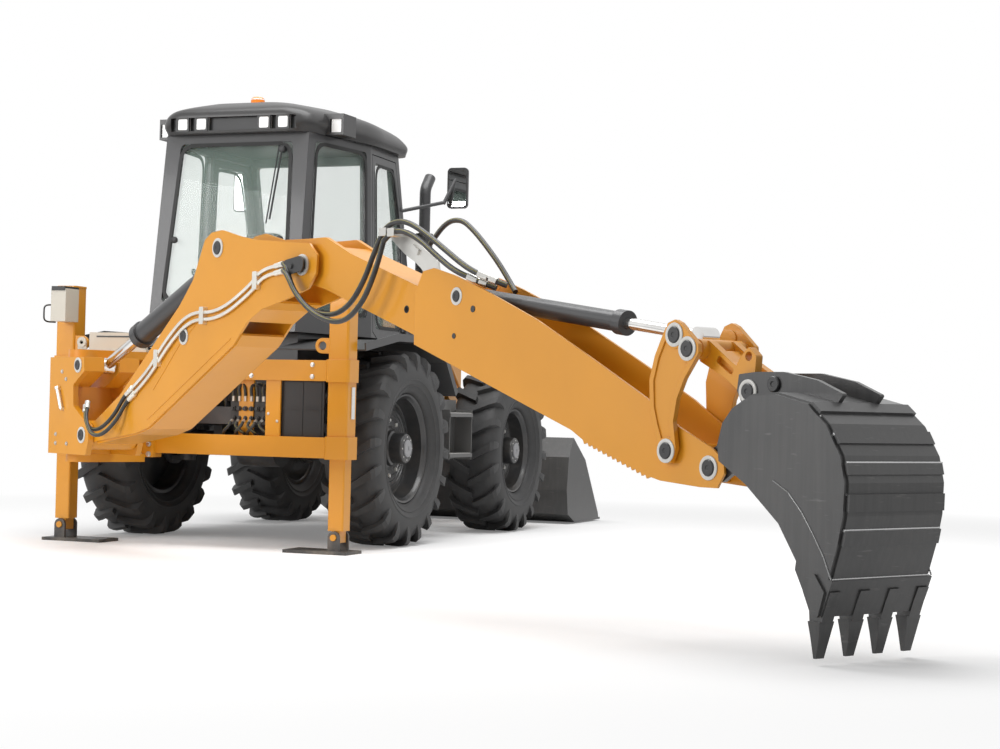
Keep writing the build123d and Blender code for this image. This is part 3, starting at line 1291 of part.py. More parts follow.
# Hoe cylinders
cylinder_pair(ARM, BOOM_PIN, ROD_PIN, 72, 36, 1310, 400, (100, 48), BOOM_PIN_R, "boom_cylinder")
cylinder_pair(ARM, CROWD_BASE, TAIL_PIN, 62, 32, 936, 140, (80, 48), CROWD_PIN_R, "crowd_cylinder")
cylinder_pair(ARM, CURL_BASE, ROCK_PIN, 48, 28, 1120, 450, (80, 52), CURL_PIN_R, "bucket_cylinder")

# Pipes along the boom's side with the hoses at its foot, the loops below the elbow, and the hoses
# over the outer dipper on their bracket
def run(points, radius):
    """A round pipe through places (s, z, w) of the arm, its bends as wide as its runs allow."""
    places = [arm_point((s, z), w) for s, z, w in points]
    with BuildPart() as pipe:
        with BuildLine() as route:
            start = places[0]
            for before, corner, after in zip(places, places[1:], places[2:]):
                reach = 0.45 * min((corner - before).length, (after - corner).length)
                into = (corner - before).normalized()
                out = (after - corner).normalized()
                Line(start, corner - into * reach)
                TangentArc(corner - into * reach, corner + out * reach, tangent=into)
                start = corner + out * reach
            Line(start, places[-1])
        with BuildSketch(Plane(origin=places[0], z_dir=places[1] - places[0])):
            Circle(radius)
        sweep(path=route.wire())
    return pipe.part


PIPE_W = BOOM_HALF + 16
PIPE_R = 10.0
HOSE_R = 13.0
BOOM_PIPE_RUNS = (
    # places (s, z) from the boom's foot to its elbow, distance across
    (((947, 1044), (1210, 1190), (1413, 1376), (1690, 1545), (2023, 1529), (2384, 1683),
      (2488, 1766), (2740, 1793)), PIPE_W),
    (((980, 1012), (1235, 1160), (1440, 1340), (1706, 1500), (2040, 1490), (2410, 1650),
      (2510, 1728), (2740, 1752)), PIPE_W),
)
FOOT_HOSE_RUNS = (
    # places (s, z, w) from the tower's side to the boom's pipes
    ((470, 940, 222), (505, 860, 240), (600, 800, 250), (720, 810, 240), (830, 900, 206),
     (887, 1011, PIPE_W), (947, 1044, PIPE_W)),
    ((500, 960, 222), (545, 880, 262), (650, 770, 276), (780, 770, 262), (870, 860, 216),
     (919, 977, PIPE_W), (980, 1012, PIPE_W)),
)
ELBOW_HOSE_RUNS = (
    # places (s, z, w) from the guide at the elbow, hanging below it and up to the outer dipper
    ((2758, 1765, 204), (2880, 1640, 212), (3043, 1525, 216), (3270, 1478, 216), (3440, 1530, 212),
     (3560, 1660, 206), (3630, 1790, 200), (3675, 1860, 196)),
    ((2790, 1745, 236), (2969, 1600, 244), (3173, 1480, 246), (3416, 1432, 244),
     (3590, 1530, 238), (3690, 1700, 226), (3732, 1845, 212)),
)
OUTER_HOSE_RUNS = (
    # places (s, z, w) from the bracket on the outer dipper to the bucket cylinder
    ((3684, 1878, 196), (3735, 1942, 194), (3830, 1968, 190), (3930, 1956, 188), (4076, 1892, 188),
     (4241, 1799, 186), (4402, 1704, 176), (4500, 1656, 140), (4575, 1618, 90)),
    ((3738, 1866, 210), (3800, 1908, 208), (3900, 1915, 206), (4040, 1864, 206), (4200, 1766, 204),
     (4330, 1690, 196), (4430, 1645, 150), (4510, 1612, 100)),
)
BRACKET = [
    (3700, 1893), (3712, 1930), (3830, 1926), (3985, 1832), (4125, 1752), (4150, 1640), (4050, 1640),
    (3990, 1713), (3931, 1752), (3840, 1797),
]
CLAMPS = (((3708, 1893), (3772, 1928), 78), ((3792, 1886), (3852, 1926), 86))
with BuildPart() as boom_pipes:
    for places, w in BOOM_PIPE_RUNS:
        add(run([(s, z, w) for s, z in places], PIPE_R))
    for place in ((1310, 1265), (1850, 1518), (2440, 1708)):
        clamp = outline([
            (place[0] - 24, place[1] - 52), (place[0] + 24, place[1] - 52),
            (place[0] + 24, place[1] + 52), (place[0] - 24, place[1] + 52),
        ], 6)
        slab(ARM, BOOM_HALF, PIPE_W + 5, clamp)
    for places in FOOT_HOSE_RUNS:
        add(run(places, HOSE_R))
keep("boom_pipes", boom_pipes.part)
with BuildPart() as dipper_hoses:
    for places in ELBOW_HOSE_RUNS:
        add(run(places, HOSE_R))
    guide = PIPE_W + PIPE_R + RUN
    slab(ARM, guide, guide + 62, outline([(2740, 1722), (2940, 1742), (2940, 1822), (2740, 1796)], 12))
    cross_pin(ARM, ELBOW, 30, BOOM_HALF + 12, guide)
keep("dipper_hoses", dipper_hoses.part)
with BuildPart() as extension_hoses:
    face = OUTER_HALF - OUTER_PLATE
    slab(ARM, face - 12, face, outline(BRACKET, 5))
    for low, high_corner, reach in CLAMPS:
        clamp = outline([low, (high_corner[0], low[1]), high_corner, (low[0], high_corner[1])], 6)
        slab(ARM, face - 12, face + reach, clamp)
    for places in OUTER_HOSE_RUNS:
        add(run(places, HOSE_R))
keep("extension_hoses", extension_hoses.part)

# The origin goes under the middle of the whole machine's box
boxes_of_all = [part.bounding_box() for part in pieces.values()]
SHIFT = Vector(
    -(min(b.min.X for b in boxes_of_all) + max(b.max.X for b in boxes_of_all)) / 2,
    -(min(b.min.Y for b in boxes_of_all) + max(b.max.Y for b in boxes_of_all)) / 2,
    0,
)
os.makedirs("parts", exist_ok=True)
for name, part in pieces.items():
    placed = Location(SHIFT) * part
    placed.label = name
    export_step(placed, f"parts/{name}.step")
print("shift", SHIFT, "pieces", len(pieces))
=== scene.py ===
# %% [markdown]
# # Dressing a backhoe loader
#
# The machine stands on its four wheels with its digging arm stretched out to one side. Its
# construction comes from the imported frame, and this lesson gives it paint, rubber, glass, hoses and
# the many small parts that a plain solid lacks. Nothing in the frame is moved: each new piece is
# made where the real one sits and then rides on the body that carries it.

from math import cos, pi, radians, sin

import bmesh
import bpy
from mathutils import Matrix, Vector


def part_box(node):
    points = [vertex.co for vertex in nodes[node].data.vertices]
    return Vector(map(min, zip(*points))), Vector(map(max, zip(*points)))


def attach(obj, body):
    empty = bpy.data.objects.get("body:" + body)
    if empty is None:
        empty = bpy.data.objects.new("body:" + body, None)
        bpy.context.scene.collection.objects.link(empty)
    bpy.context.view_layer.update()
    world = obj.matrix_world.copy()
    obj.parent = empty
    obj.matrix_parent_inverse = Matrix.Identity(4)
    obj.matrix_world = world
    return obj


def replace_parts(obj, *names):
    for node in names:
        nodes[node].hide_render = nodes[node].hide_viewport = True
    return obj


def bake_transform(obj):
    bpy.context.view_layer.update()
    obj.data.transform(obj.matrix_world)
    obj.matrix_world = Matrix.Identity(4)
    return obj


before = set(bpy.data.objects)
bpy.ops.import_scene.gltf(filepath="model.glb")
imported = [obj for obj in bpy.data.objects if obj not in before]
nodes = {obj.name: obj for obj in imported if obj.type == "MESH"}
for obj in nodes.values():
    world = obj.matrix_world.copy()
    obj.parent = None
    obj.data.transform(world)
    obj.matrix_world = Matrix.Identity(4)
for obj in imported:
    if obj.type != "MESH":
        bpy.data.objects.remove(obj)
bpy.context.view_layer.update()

# %% [markdown]
# ## One origin for every size
#
# Sizes are easiest to check in millimetres from a point that is simple to find on the real machine:
# the floor under the middle of the rear axle. The two rear tyres give that point, so the lesson
# still fits if the frame is ever packed again with another origin.

# %% Places on the machine
left_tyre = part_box("rear_left_tyre")
right_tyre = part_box("rear_right_tyre")
UNDER_AXLE = (left_tyre[0] + left_tyre[1] + right_tyre[0] + right_tyre[1]) / 4
UNDER_AXLE.z = 0.0


def at(x, y, z):
    """A point given in millimetres forward, left and up from under the rear axle."""
    return UNDER_AXLE + Vector((x, y, z)) / 1000


def linked(name, data):
    """A new object in the scene, for a mesh, a lamp or a camera."""
    thing = bpy.data.objects.new(name, data)
    bpy.context.collection.objects.link(thing)
    return thing


SIDES = ((1, "left"), (-1, "right"))
UPWARD = Vector((0, 0, 1))
BACKWARD = Vector((-1, 0, 0))
LEFTWARD = Vector((0, 1, 0))
KINGPOST = at(-1435, 633, 0)
SWING = radians(240)
REACH = Vector((cos(SWING), sin(SWING), 0))
ACROSS = Vector((sin(SWING), -cos(SWING), 0))


def hoe(s, up, w=0.0):
    """A point in the plane of the swung arm: s along it, up, and w across it, in millimetres."""
    return KINGPOST + (REACH * s + ACROSS * w) / 1000 + Vector((0, 0, up / 1000))


print("under the rear axle:", [round(value, 4) for value in UNDER_AXLE])

# %% [markdown]
# ## Camera
#
# The picture is taken from low down behind the machine with a long lens, so that its lines hardly
# converge. The camera stands about 15 metres from the rear axle at the height of a low tripod, and
# is turned by the three angles that a compass and a bubble level would read.

# %% Camera
LENS = 71.13
CAMERA_PLACE = at(-12971.3, -6786.4, 994.1)
TURN_LEFT = radians(20.854)
TILT_UP = radians(1.016)
ROLL = radians(-1.337)

forward = Vector((cos(TURN_LEFT) * cos(TILT_UP), sin(TURN_LEFT) * cos(TILT_UP), sin(TILT_UP)))
level_right = Vector((sin(TURN_LEFT), -cos(TURN_LEFT), 0))
level_up = level_right.cross(forward)
right = level_right * cos(ROLL) - level_up * sin(ROLL)
upward = level_right * sin(ROLL) + level_up * cos(ROLL)
lens_data = bpy.data.cameras.new("camera")
lens_data.lens = LENS
lens_data.sensor_width = 36
camera = linked("camera", lens_data)
turned = Matrix((right, upward, -forward)).transposed()
camera.matrix_world = Matrix.Translation(CAMERA_PLACE) @ turned.to_4x4()
bpy.context.scene.camera = camera
bpy.context.scene.view_settings.view_transform = "Standard"
print("camera", round((CAMERA_PLACE - at(0, 0, 700)).length, 2), "m from the rear axle")

# %% [markdown]
# ## Writing materials as sums
#
# A node tree is quick to draw by hand and slow to read in code. A small class wraps one output
# socket and gives it plus, minus and times, so that a mask or a tone is one readable line. A second
# class holds the tree: its one method adds any node, and the same method later builds the trees of
# Geometry Nodes.


# %% Sockets that can be added up
class Signal:
    """One output socket, with the arithmetic that materials need."""

    def __init__(self, recipe, socket):
        self.recipe = recipe
        self.socket = socket

    def maths(self, operation, *values):
        settings = {"operation": operation}
        return self.recipe.add("ShaderNodeMath", settings, dict(enumerate(values)))

    def __add__(self, other):
        return self.maths("ADD", self, other)

    def __sub__(self, other):
        return self.maths("SUBTRACT", self, other)

    def __rsub__(self, other):
        return self.maths("SUBTRACT", other, self)

    def __mul__(self, other):
        return self.maths("MULTIPLY", self, other)

    def __truediv__(self, other):
        return self.maths("DIVIDE", self, other)

    __radd__ = __add__
    __rmul__ = __mul__

    def between(self, low, high):
        """0 below low, 1 above high, and an even slope from one to the other."""
        slope = (self - low) / (high - low)
        return self.maths("MINIMUM", self.maths("MAXIMUM", slope, 0.0), 1.0)


class Recipe:
    """A node tree being written, for a material or for geometry."""

    def __init__(self, tree):
        self.tree = tree
        tree.nodes.clear()

    def add(self, kind, settings=None, inputs=None, output=0):
        """Adds a node, makes its settings, then fills its sockets with values or links."""
        node = self.tree.nodes.new(kind)
        for name, value in (settings or {}).items():
            setattr(node, name, value)
        for name, value in (inputs or {}).items():
            self.feed(node.inputs[name], value)
        return Signal(self, node.outputs[output] if node.outputs else None)

    def feed(self, socket, value):
        """Links a signal to a socket, or sets the socket's own value."""
        if isinstance(value, Signal):
            self.tree.links.new(value.socket, socket)
        elif socket.type == "RGBA" and len(value) == 3:
            socket.default_value = (*value, 1)
        else:
            socket.default_value = value


print("Signal and Recipe are ready")

# %% [markdown]
# ## What the finishes share
#
# Paint, rubber, cast iron and plastic differ in a few numbers: how much the tone drifts over a
# metre, how fine the grain is, and how shiny the skin is. The class below writes that once. It
# reads Object coordinates, so a pattern stays on its part when the machine moves.


# %% The finish class
class Finish(Recipe):
    """A material: a Principled surface with its tone, gloss and grain worked out by nodes."""

    def __init__(self, name):
        self.material = bpy.data.materials.new(name)
        self.material.use_nodes = True
        super().__init__(self.material.node_tree)
        self.where = self.add("ShaderNodeTexCoord", output="Object")

    def stretched(self, scale):
        """The coordinates with a scale for each axis."""
        return self.add("ShaderNodeMapping", None, {"Vector": self.where, "Scale": scale})

    def noise(self, scale, detail=3.0, rough=0.55, where=None):
        inputs = {"Vector": where or self.where, "Scale": scale, "Detail": detail, "Roughness": rough}
        return self.add("ShaderNodeTexNoise", None, inputs)

    def mix(self, factor, first, second):
        settings = {"data_type": "RGBA", "clamp_factor": True}
        return self.add("ShaderNodeMix", settings, {0: factor, 6: first, 7: second}, 2)

    def axis(self, letter):
        """One coordinate of a point, in metres."""
        return self.add("ShaderNodeSeparateXYZ", None, {0: self.where}, letter)

    def bump(self, height, strength, distance):
        inputs = {"Height": height, "Strength": strength, "Distance": distance}
        return self.add("ShaderNodeBump", None, inputs)

    def surface(self, sockets):
        """Ends the tree in a Principled surface and gives the material."""
        skin = self.add("ShaderNodeBsdfPrincipled", None, sockets)
        self.add("ShaderNodeOutputMaterial", None, {"Surface": skin})
        return self.material


def tone(colour, factor):
    """The same colour, lighter or darker."""
    return tuple(min(1.0, part * factor) for part in colour)


print("Finish is ready")

# %% [markdown]
# ## Floor and light
#
# A product picture is taken on a pale sweep under big soft lamps. The floor here is one wide sheet.
# Its paint is pale, and what the camera sees of it is lifted a little towards white, so that the
# floor melts into the background while the shadow under the wheels stays.

# %% Pale floor
FLOOR_REACH = 60.0
FLOOR_PAINT = (0.86, 0.86, 0.86)
FLOOR_LIFT = 0.16
FLOOR_FADE = (5.0, 9.0)

floor_mesh = bpy.data.meshes.new("floor")
corners = [(-FLOOR_REACH, -FLOOR_REACH, 0), (FLOOR_REACH, -FLOOR_REACH, 0)]
corners += [(FLOOR_REACH, FLOOR_REACH, 0), (-FLOOR_REACH, FLOOR_REACH, 0)]
floor_mesh.from_pydata(corners, [], [(0, 1, 2, 3)])
floor = linked("floor", floor_mesh)
paint = Finish("floor_paint")
matt = paint.add("ShaderNodeBsdfDiffuse", None, {"Color": FLOOR_PAINT})
glow = paint.add("ShaderNodeEmission", None, {"Color": (1, 1, 1), "Strength": FLOOR_LIFT})
raised = paint.add("ShaderNodeAddShader", None, {0: matt, 1: glow})
bright = paint.add("ShaderNodeEmission", None, {"Color": (1, 1, 1), "Strength": 1.0})
far = paint.add("ShaderNodeVectorMath", {"operation": "LENGTH"}, {0: paint.where}, "Value")
lifted = paint.add("ShaderNodeMixShader", None, {0: far.between(*FLOOR_FADE), 1: raised, 2: bright})
seen = paint.add("ShaderNodeLightPath", output="Is Camera Ray")
either = paint.add("ShaderNodeMixShader", None, {0: seen, 1: matt, 2: lifted})
paint.add("ShaderNodeOutputMaterial", None, {"Surface": either})
floor_mesh.materials.append(paint.material)
print("floor", 2 * FLOOR_REACH, "m wide")

# %% [markdown]
# The sky is an even white dome. It is the plain part of the light, and glass, chrome and the camera
# see it as a white background. Two large soft lamps do the modelling: one high over the
# machine, and one on the camera's left that gives the long arm its bright side.

# %% White dome and two soft lamps
DOME_LIGHT = 0.40
DOME_IN_GLOSS = 0.85
LAMPS = (
    # name, place, aim, width, height, watts
    ("top_softbox", at(-1500, -1500, 8500), at(-200, -600, 600), 9.0, 6.0, 820.0),
    ("side_softbox", at(-10500, 5200, 4200), at(-1200, -300, 1200), 5.0, 4.0, 520.0),
)

world = bpy.data.worlds.new("dome")
world.use_nodes = True
bpy.context.scene.world = world
sky = Recipe(world.node_tree)
camera_ray = sky.add("ShaderNodeLightPath", output="Is Camera Ray")
glossy_ray = sky.add("ShaderNodeLightPath", output="Is Glossy Ray")
through_ray = sky.add("ShaderNodeLightPath", output="Is Transmission Ray")
direct = camera_ray.maths("MAXIMUM", camera_ray, through_ray)
white = direct.maths("MAXIMUM", direct, glossy_ray * DOME_IN_GLOSS)
strength = white * (1.0 - DOME_LIGHT) + DOME_LIGHT
shine = sky.add("ShaderNodeBackground", None, {"Color": (1, 1, 1), "Strength": strength})
sky.add("ShaderNodeOutputWorld", None, {"Surface": shine})
for name, place, aim, width, height, watts in LAMPS:
    lamp_data = bpy.data.lights.new(name, "AREA")
    lamp_data.shape = "RECTANGLE"
    lamp_data.size = width
    lamp_data.size_y = height
    lamp_data.energy = watts
    lamp = linked(name, lamp_data)
    turn = (aim - place).to_track_quat("-Z", "Y").to_matrix().to_4x4()
    lamp.matrix_world = Matrix.Translation(place) @ turn
print("lamps:", ", ".join(row[0] for row in LAMPS))

# %% [markdown]
# ## Paint
#
# The machine is sprayed in a warm orange with a hard gloss. Sprayed steel is never quite flat: it
# has a fine orange-peel skin, and over a metre the tone drifts by a few percent. Low down, where
# wheels throw dust, the paint loses some of its shine.

# %% Sprayed paint
ORANGE = (0.68, 0.283, 0.010)
DUST = (0.36, 0.31, 0.25)
DUST_HEIGHTS = (0.1, 1.3)
EDGE_RADIUS = 0.004


def sprayed(name, colour, roughness, coat, peel=0.05, drift=0.06, dust=0.0):
    """Paint on steel: a drifting tone, a fine skin and a clear coat."""
    paint = Finish(name)
    broad = paint.noise(1.1, 4.0)
    fine = paint.noise(34.0, 2.0)
    body = paint.mix(broad.between(0.3, 0.7), tone(colour, 1 - drift), tone(colour, 1 + drift))
    low_down = 1.0 - paint.axis("Z").between(*DUST_HEIGHTS)
    dusty = paint.noise(7.0, 5.0).between(0.42, 0.72) * low_down * dust
    coloured = paint.mix(dusty, body, DUST)
    edge = paint.add("ShaderNodeBevel", {"samples": 4}, {"Radius": EDGE_RADIUS})
    peeled = {"Height": paint.noise(240.0, 1.0), "Strength": peel, "Distance": 0.002, "Normal": edge}
    skin = paint.add("ShaderNodeBump", None, peeled)
    return paint.surface({
        "Base Color": coloured,
        "Roughness": roughness + (fine - 0.5) * 0.10 + dusty * 0.3,
        "Coat Weight": coat - dusty * coat,
        "Coat Roughness": 0.09,
        "Normal": skin,
    })


orange_paint = sprayed("orange_paint", ORANGE, 0.40, 0.28)
dark_paint = sprayed("dark_paint", (0.040, 0.040, 0.042), 0.42, 0.25, drift=0.12, dust=0.25)
rim_paint = sprayed("rim_paint", (0.030, 0.030, 0.031), 0.36, 0.35, drift=0.10, dust=0.15)
grey_paint = sprayed("grey_paint", (0.115, 0.113, 0.110), 0.45, 0.2, drift=0.08)
cap_paint = sprayed("cap_paint", (0.30, 0.30, 0.31), 0.42, 0.3, drift=0.05)
ring_paint = sprayed("ring_paint", (0.62, 0.61, 0.58), 0.40, 0.2, drift=0.04)
cream_paint = sprayed("cream_paint", (0.56, 0.53, 0.46), 0.5, 0.1, drift=0.05)
black_steel = sprayed("black_steel", (0.018, 0.018, 0.019), 0.40, 0.25, drift=0.08)
pad_paint = sprayed("pad_paint", (0.045, 0.042, 0.040), 0.5, 0.15, drift=0.15, dust=0.4)
print("paints ready; orange is", ORANGE)

# %% [markdown]
# The digging bucket is painted black over rolled plate. Rolling leaves long streaks, and the
# paint catches the light unevenly along them. The streaks are noise stretched along the bucket's
# curve, with a few bright scuffs where the plate has rubbed in transport.


# %% Black bucket paint
def streaked(name, colour, sheen_colour, roughness):
    """Black paint on rolled plate, with upright streaks and light scuffs."""
    paint = Finish(name)
    streaks = paint.noise(1.0, 6.0, 0.6, paint.stretched((46.0, 46.0, 2.2)))
    cloud = paint.noise(2.3, 3.0)
    scuffs = paint.noise(1.0, 2.0, 0.5, paint.stretched((9.0, 9.0, 60.0))).between(0.66, 0.78)
    mottled = cloud.between(0.3, 0.7) * 0.6 + streaks.between(0.4, 0.7) * 0.4
    body = paint.mix(mottled, colour, sheen_colour)
    worn = paint.mix(scuffs * 0.22, body, (0.30, 0.29, 0.28))
    return paint.surface({
        "Base Color": worn,
        "Roughness": roughness + (streaks - 0.5) * 0.22 + (cloud - 0.5) * 0.12,
        "Coat Weight": 0.3,
        "Coat Roughness": 0.16,
        "Normal": paint.bump(streaks * 0.6 + paint.noise(150.0, 1.0) * 0.4, 0.06, 0.003),
    })


bucket_paint = streaked("bucket_paint", (0.036, 0.036, 0.037), (0.070, 0.069, 0.068), 0.40)
loader_paint = streaked("loader_paint", (0.050, 0.050, 0.050), (0.085, 0.083, 0.080), 0.48)
print("bucket paint ready")

# %% [markdown]
# ## Bare metals
#
# A piston rod is ground and hard-chromed, so it is bright and has fine lines round it. Zinc-plated
# screws are duller. Cast iron keeps the grain of the sand that it was poured in.


# %% Chrome, zinc and cast iron
def bare(name, colour, roughness, grain, grain_scale):
    """A bare metal with a fine grain in its gloss."""
    metal = Finish(name)
    speck = metal.noise(grain_scale, 3.0)
    blotch = metal.noise(5.0, 3.0)
    body = metal.mix(blotch.between(0.3, 0.7), tone(colour, 0.9), tone(colour, 1.06))
    return metal.surface({
        "Base Color": body,
        "Metallic": 1.0,
        "Roughness": roughness + (speck - 0.5) * grain,
        "Normal": metal.bump(speck, 0.03, 0.001),
    })


chrome = bare("chrome", (0.80, 0.79, 0.77), 0.14, 0.10, 400.0)
zinc = bare("zinc", (0.62, 0.61, 0.58), 0.34, 0.20, 220.0)
pipe_metal = bare("pipe_metal", (0.80, 0.78, 0.72), 0.42, 0.15, 120.0)
# Two tones of one bare weld: the pale one is a painted sheen on the beads across the bucket's back, the
# darker one painted shade on the cheek beads.
sheen_weld_metal = bare("sheen_weld_metal", (0.62, 0.62, 0.62), 0.40, 0.25, 300.0)
shaded_weld_metal = bare("shaded_weld_metal", (0.22, 0.22, 0.22), 0.45, 0.25, 300.0)

casting = Finish("cast_iron")
sand = casting.noise(130.0, 4.0, 0.7)
cast_iron = casting.surface({
    "Base Color": casting.mix(sand.between(0.3, 0.7), (0.035, 0.034, 0.033), (0.062, 0.060, 0.058)),
    "Metallic": 0.35,
    "Roughness": 0.52 + (sand - 0.5) * 0.2,
    "Normal": casting.bump(sand, 0.25, 0.002),
})
print("metals ready")

# %% [markdown]
# ## Rubber
#
# New tyre rubber is charcoal, not black. It has a dull bloom in patches, and mould lines run round the
# side walls. Hoses are smoother, and seals are darker.


# %% Rubber
def rubber(name, colour, bloom, roughness, grain):
    """Moulded rubber with a dusty bloom and a fine pebbled skin."""
    skin = Finish(name)
    patch = skin.noise(6.0, 5.0, 0.6)
    pebbles = skin.noise(180.0, 2.0)
    shade = patch.between(0.35, 0.72) * 0.7 + pebbles.between(0.4, 0.8) * 0.2
    return skin.surface({
        "Base Color": skin.mix(shade, colour, bloom),
        "Roughness": roughness + (patch - 0.5) * 0.16,
        "Specular IOR Level": 0.45,
        "Normal": skin.bump(pebbles + patch * 0.5, grain, 0.002),
    })


tyre_rubber = rubber("tyre_rubber", (0.034, 0.034, 0.035), (0.062, 0.061, 0.060), 0.56, 0.16)
hose_rubber = rubber("hose_rubber", (0.016, 0.016, 0.017), (0.032, 0.032, 0.032), 0.42, 0.08)
seal_rubber = rubber("seal_rubber", (0.012, 0.012, 0.012), (0.022, 0.022, 0.022), 0.6, 0.05)
print("rubbers ready")

# %% [markdown]
# ## Plastics, glass and lamps
#
# The roof is a moulded shell with a leathery grain, and the cab's posts are clad in the same
# plastic. Cab glass is tinted green and throws back the pale studio, so what is inside looks a
# little misty: a thin pale tone at part opacity does that without bending the view.


# %% Moulded plastic and glass
def moulded(name, colour, roughness, grain=0.12, grain_scale=420.0):
    """Moulded plastic with a leathery grain."""
    shell = Finish(name)
    leather = shell.add("ShaderNodeTexVoronoi", None, {"Vector": shell.where, "Scale": grain_scale})
    cloud = shell.noise(3.0, 3.0)
    return shell.surface({
        "Base Color": shell.mix(cloud.between(0.3, 0.7), tone(colour, 0.9), tone(colour, 1.1)),
        "Roughness": roughness + (cloud - 0.5) * 0.08,
        "Normal": shell.bump(leather, grain, 0.001),
    })


GLASS_OPACITY = 0.13
# The pale green base colour is the glass's own tint plus a painted reflection of the pale studio, laid
# over the view inside by the part opacity.
pane = Finish("cab_pane")
cab_pane = pane.surface({
    "Base Color": (0.50, 0.66, 0.58),
    "Roughness": 0.02,
    "Alpha": GLASS_OPACITY + (pane.noise(1.6, 3.0) - 0.5) * 0.05,
})
roof_plastic = moulded("roof_plastic", (0.036, 0.035, 0.035), 0.34)
black_plastic = moulded("black_plastic", (0.020, 0.020, 0.021), 0.46)
guard_plastic = moulded("guard_plastic", (0.060, 0.060, 0.061), 0.40, 0.08)
lamp_lens = moulded("lamp_lens", (0.80, 0.80, 0.78), 0.12, 0.3, 160.0)
mirror_glass = bare("mirror_glass", (0.86, 0.88, 0.88), 0.02, 0.0, 50.0)
amber_lens = moulded("amber_lens", (0.85, 0.22, 0.012), 0.16, 0.3, 160.0)
white_reflector = moulded("white_reflector", (0.82, 0.82, 0.80), 0.18, 0.3, 160.0)
print("plastics, glass and lenses ready")

# %% [markdown]
# The seat is covered in a coarse weave. Two crossed waves make the threads, and a little noise keeps
# the rows from looking printed.

# %% Seat cloth
cloth = Finish("seat_cloth")
warp = cloth.add("ShaderNodeTexWave", {"bands_direction": "X"}, {"Vector": cloth.where, "Scale": 190.0})
weft = cloth.add("ShaderNodeTexWave", {"bands_direction": "Z"}, {"Vector": cloth.where, "Scale": 190.0})
weave = cloth.add("ShaderNodeSeparateColor", None, {0: cloth.mix(0.5, warp, weft)}, "Red")
fade = cloth.noise(5.0, 3.0)
seat_cloth = cloth.surface({
    "Base Color": cloth.mix(weave * 0.6 + fade * 0.4, (0.020, 0.021, 0.024), (0.070, 0.071, 0.076)),
    "Roughness": 0.86,
    "Sheen Weight": 0.25,
    "Normal": cloth.bump(weave, 0.35, 0.001),
})
print("seat cloth ready")

# %% [markdown]
# ## Finishes on the frame's own pieces
#
# Most solids of the frame already have the right shape, so they only take a finish. Each row of the
# table names one finish and the pieces that wear it.

# %% Finish every piece of the frame
WHEELS = [f"{axle}_{hand}" for axle in ("rear", "front") for hand in ("left", "right")]
WEARS = (
    (orange_paint, "slide_frame stabiliser_leg_left stabiliser_leg_right bonnet loader_arms"),
    (orange_paint, "carriage swing_tower boom dipper dipper_extension rocker_levers bucket_link"),
    (orange_paint, "lift_barrels tilt_barrels"),
    (dark_paint, "main_frame axle_housings cab_shell door_left door_right exhaust_stack"),
    (dark_paint, "boom_cylinder_barrel crowd_cylinder_barrel bucket_cylinder_barrel"),
    (dark_paint, "front_grille mirrors"),
    (dark_paint, " ".join(f"{wheel}_knuckle" for wheel in WHEELS)),
    (rim_paint, " ".join(f"{wheel}_rim" for wheel in WHEELS)),
    (tyre_rubber, " ".join(f"{wheel}_tyre" for wheel in WHEELS)),
    (chrome, "boom_cylinder_rod crowd_cylinder_rod bucket_cylinder_rod lift_rods tilt_rods"),
    (bucket_paint, "hoe_bucket"),
    (loader_paint, "loader_bucket"),
    (pad_paint, "stabiliser_pad_left stabiliser_pad_right"),
    (grey_paint, "side_boxes"),
    (roof_plastic, "cab_roof"),
    (guard_plastic, "mudguards"),
    (black_plastic, "controls seat_frame"),
    (seat_cloth, "seat_cushions"),
    (cab_pane, "cab_glass door_glass_left door_glass_right"),
    (white_reflector, "lamps"),
    (cast_iron, "engine_block"),
    (zinc, "boom_pipes"),
    (hose_rubber, "dipper_hoses extension_hoses"),
)


def wear(node, finish):
    """Gives a piece of the frame its finish in each of its material slots."""
    mesh = nodes[node].data
    if not mesh.materials:
        mesh.materials.append(finish)
    for number in range(len(mesh.materials)):
        mesh.materials[number] = finish


dressed = set()
for finish, names in WEARS:
    for node in names.split():
        wear(node, finish)
        dressed.add(node)
print("finished:", len(dressed), "of", len(nodes), "; bare:", sorted(set(nodes) - dressed))

# %% [markdown]
# ## A small workshop for solids
#
# Nearly every added part is a skin drawn between rings of points: a bar is two rings, a turned cap
# is a few, and a hose is many. One class gathers such skins in a mesh, so that all parts of one
# finish on one body become one object.


# %% The Shape class
SHARP_TURN = 35
SOFTENED_TURN = 25


def ring(centre, first, second, radius, sides, turn=0.0):
    """Points round a centre, from a first direction towards a second; radius in millimetres."""
    angles = [2 * pi * number / sides + turn for number in range(sides)]
    return [centre + (first * cos(angle) + second * sin(angle)) * radius / 1000 for angle in angles]


def circle(centre, axis, radius, sides=24, turn=0.0):
    """Points round a centre, at right angles to an axis; radius in millimetres."""
    axis = axis.normalized()
    first = axis.orthogonal().normalized()
    return ring(centre, first, axis.cross(first), radius, sides, turn)


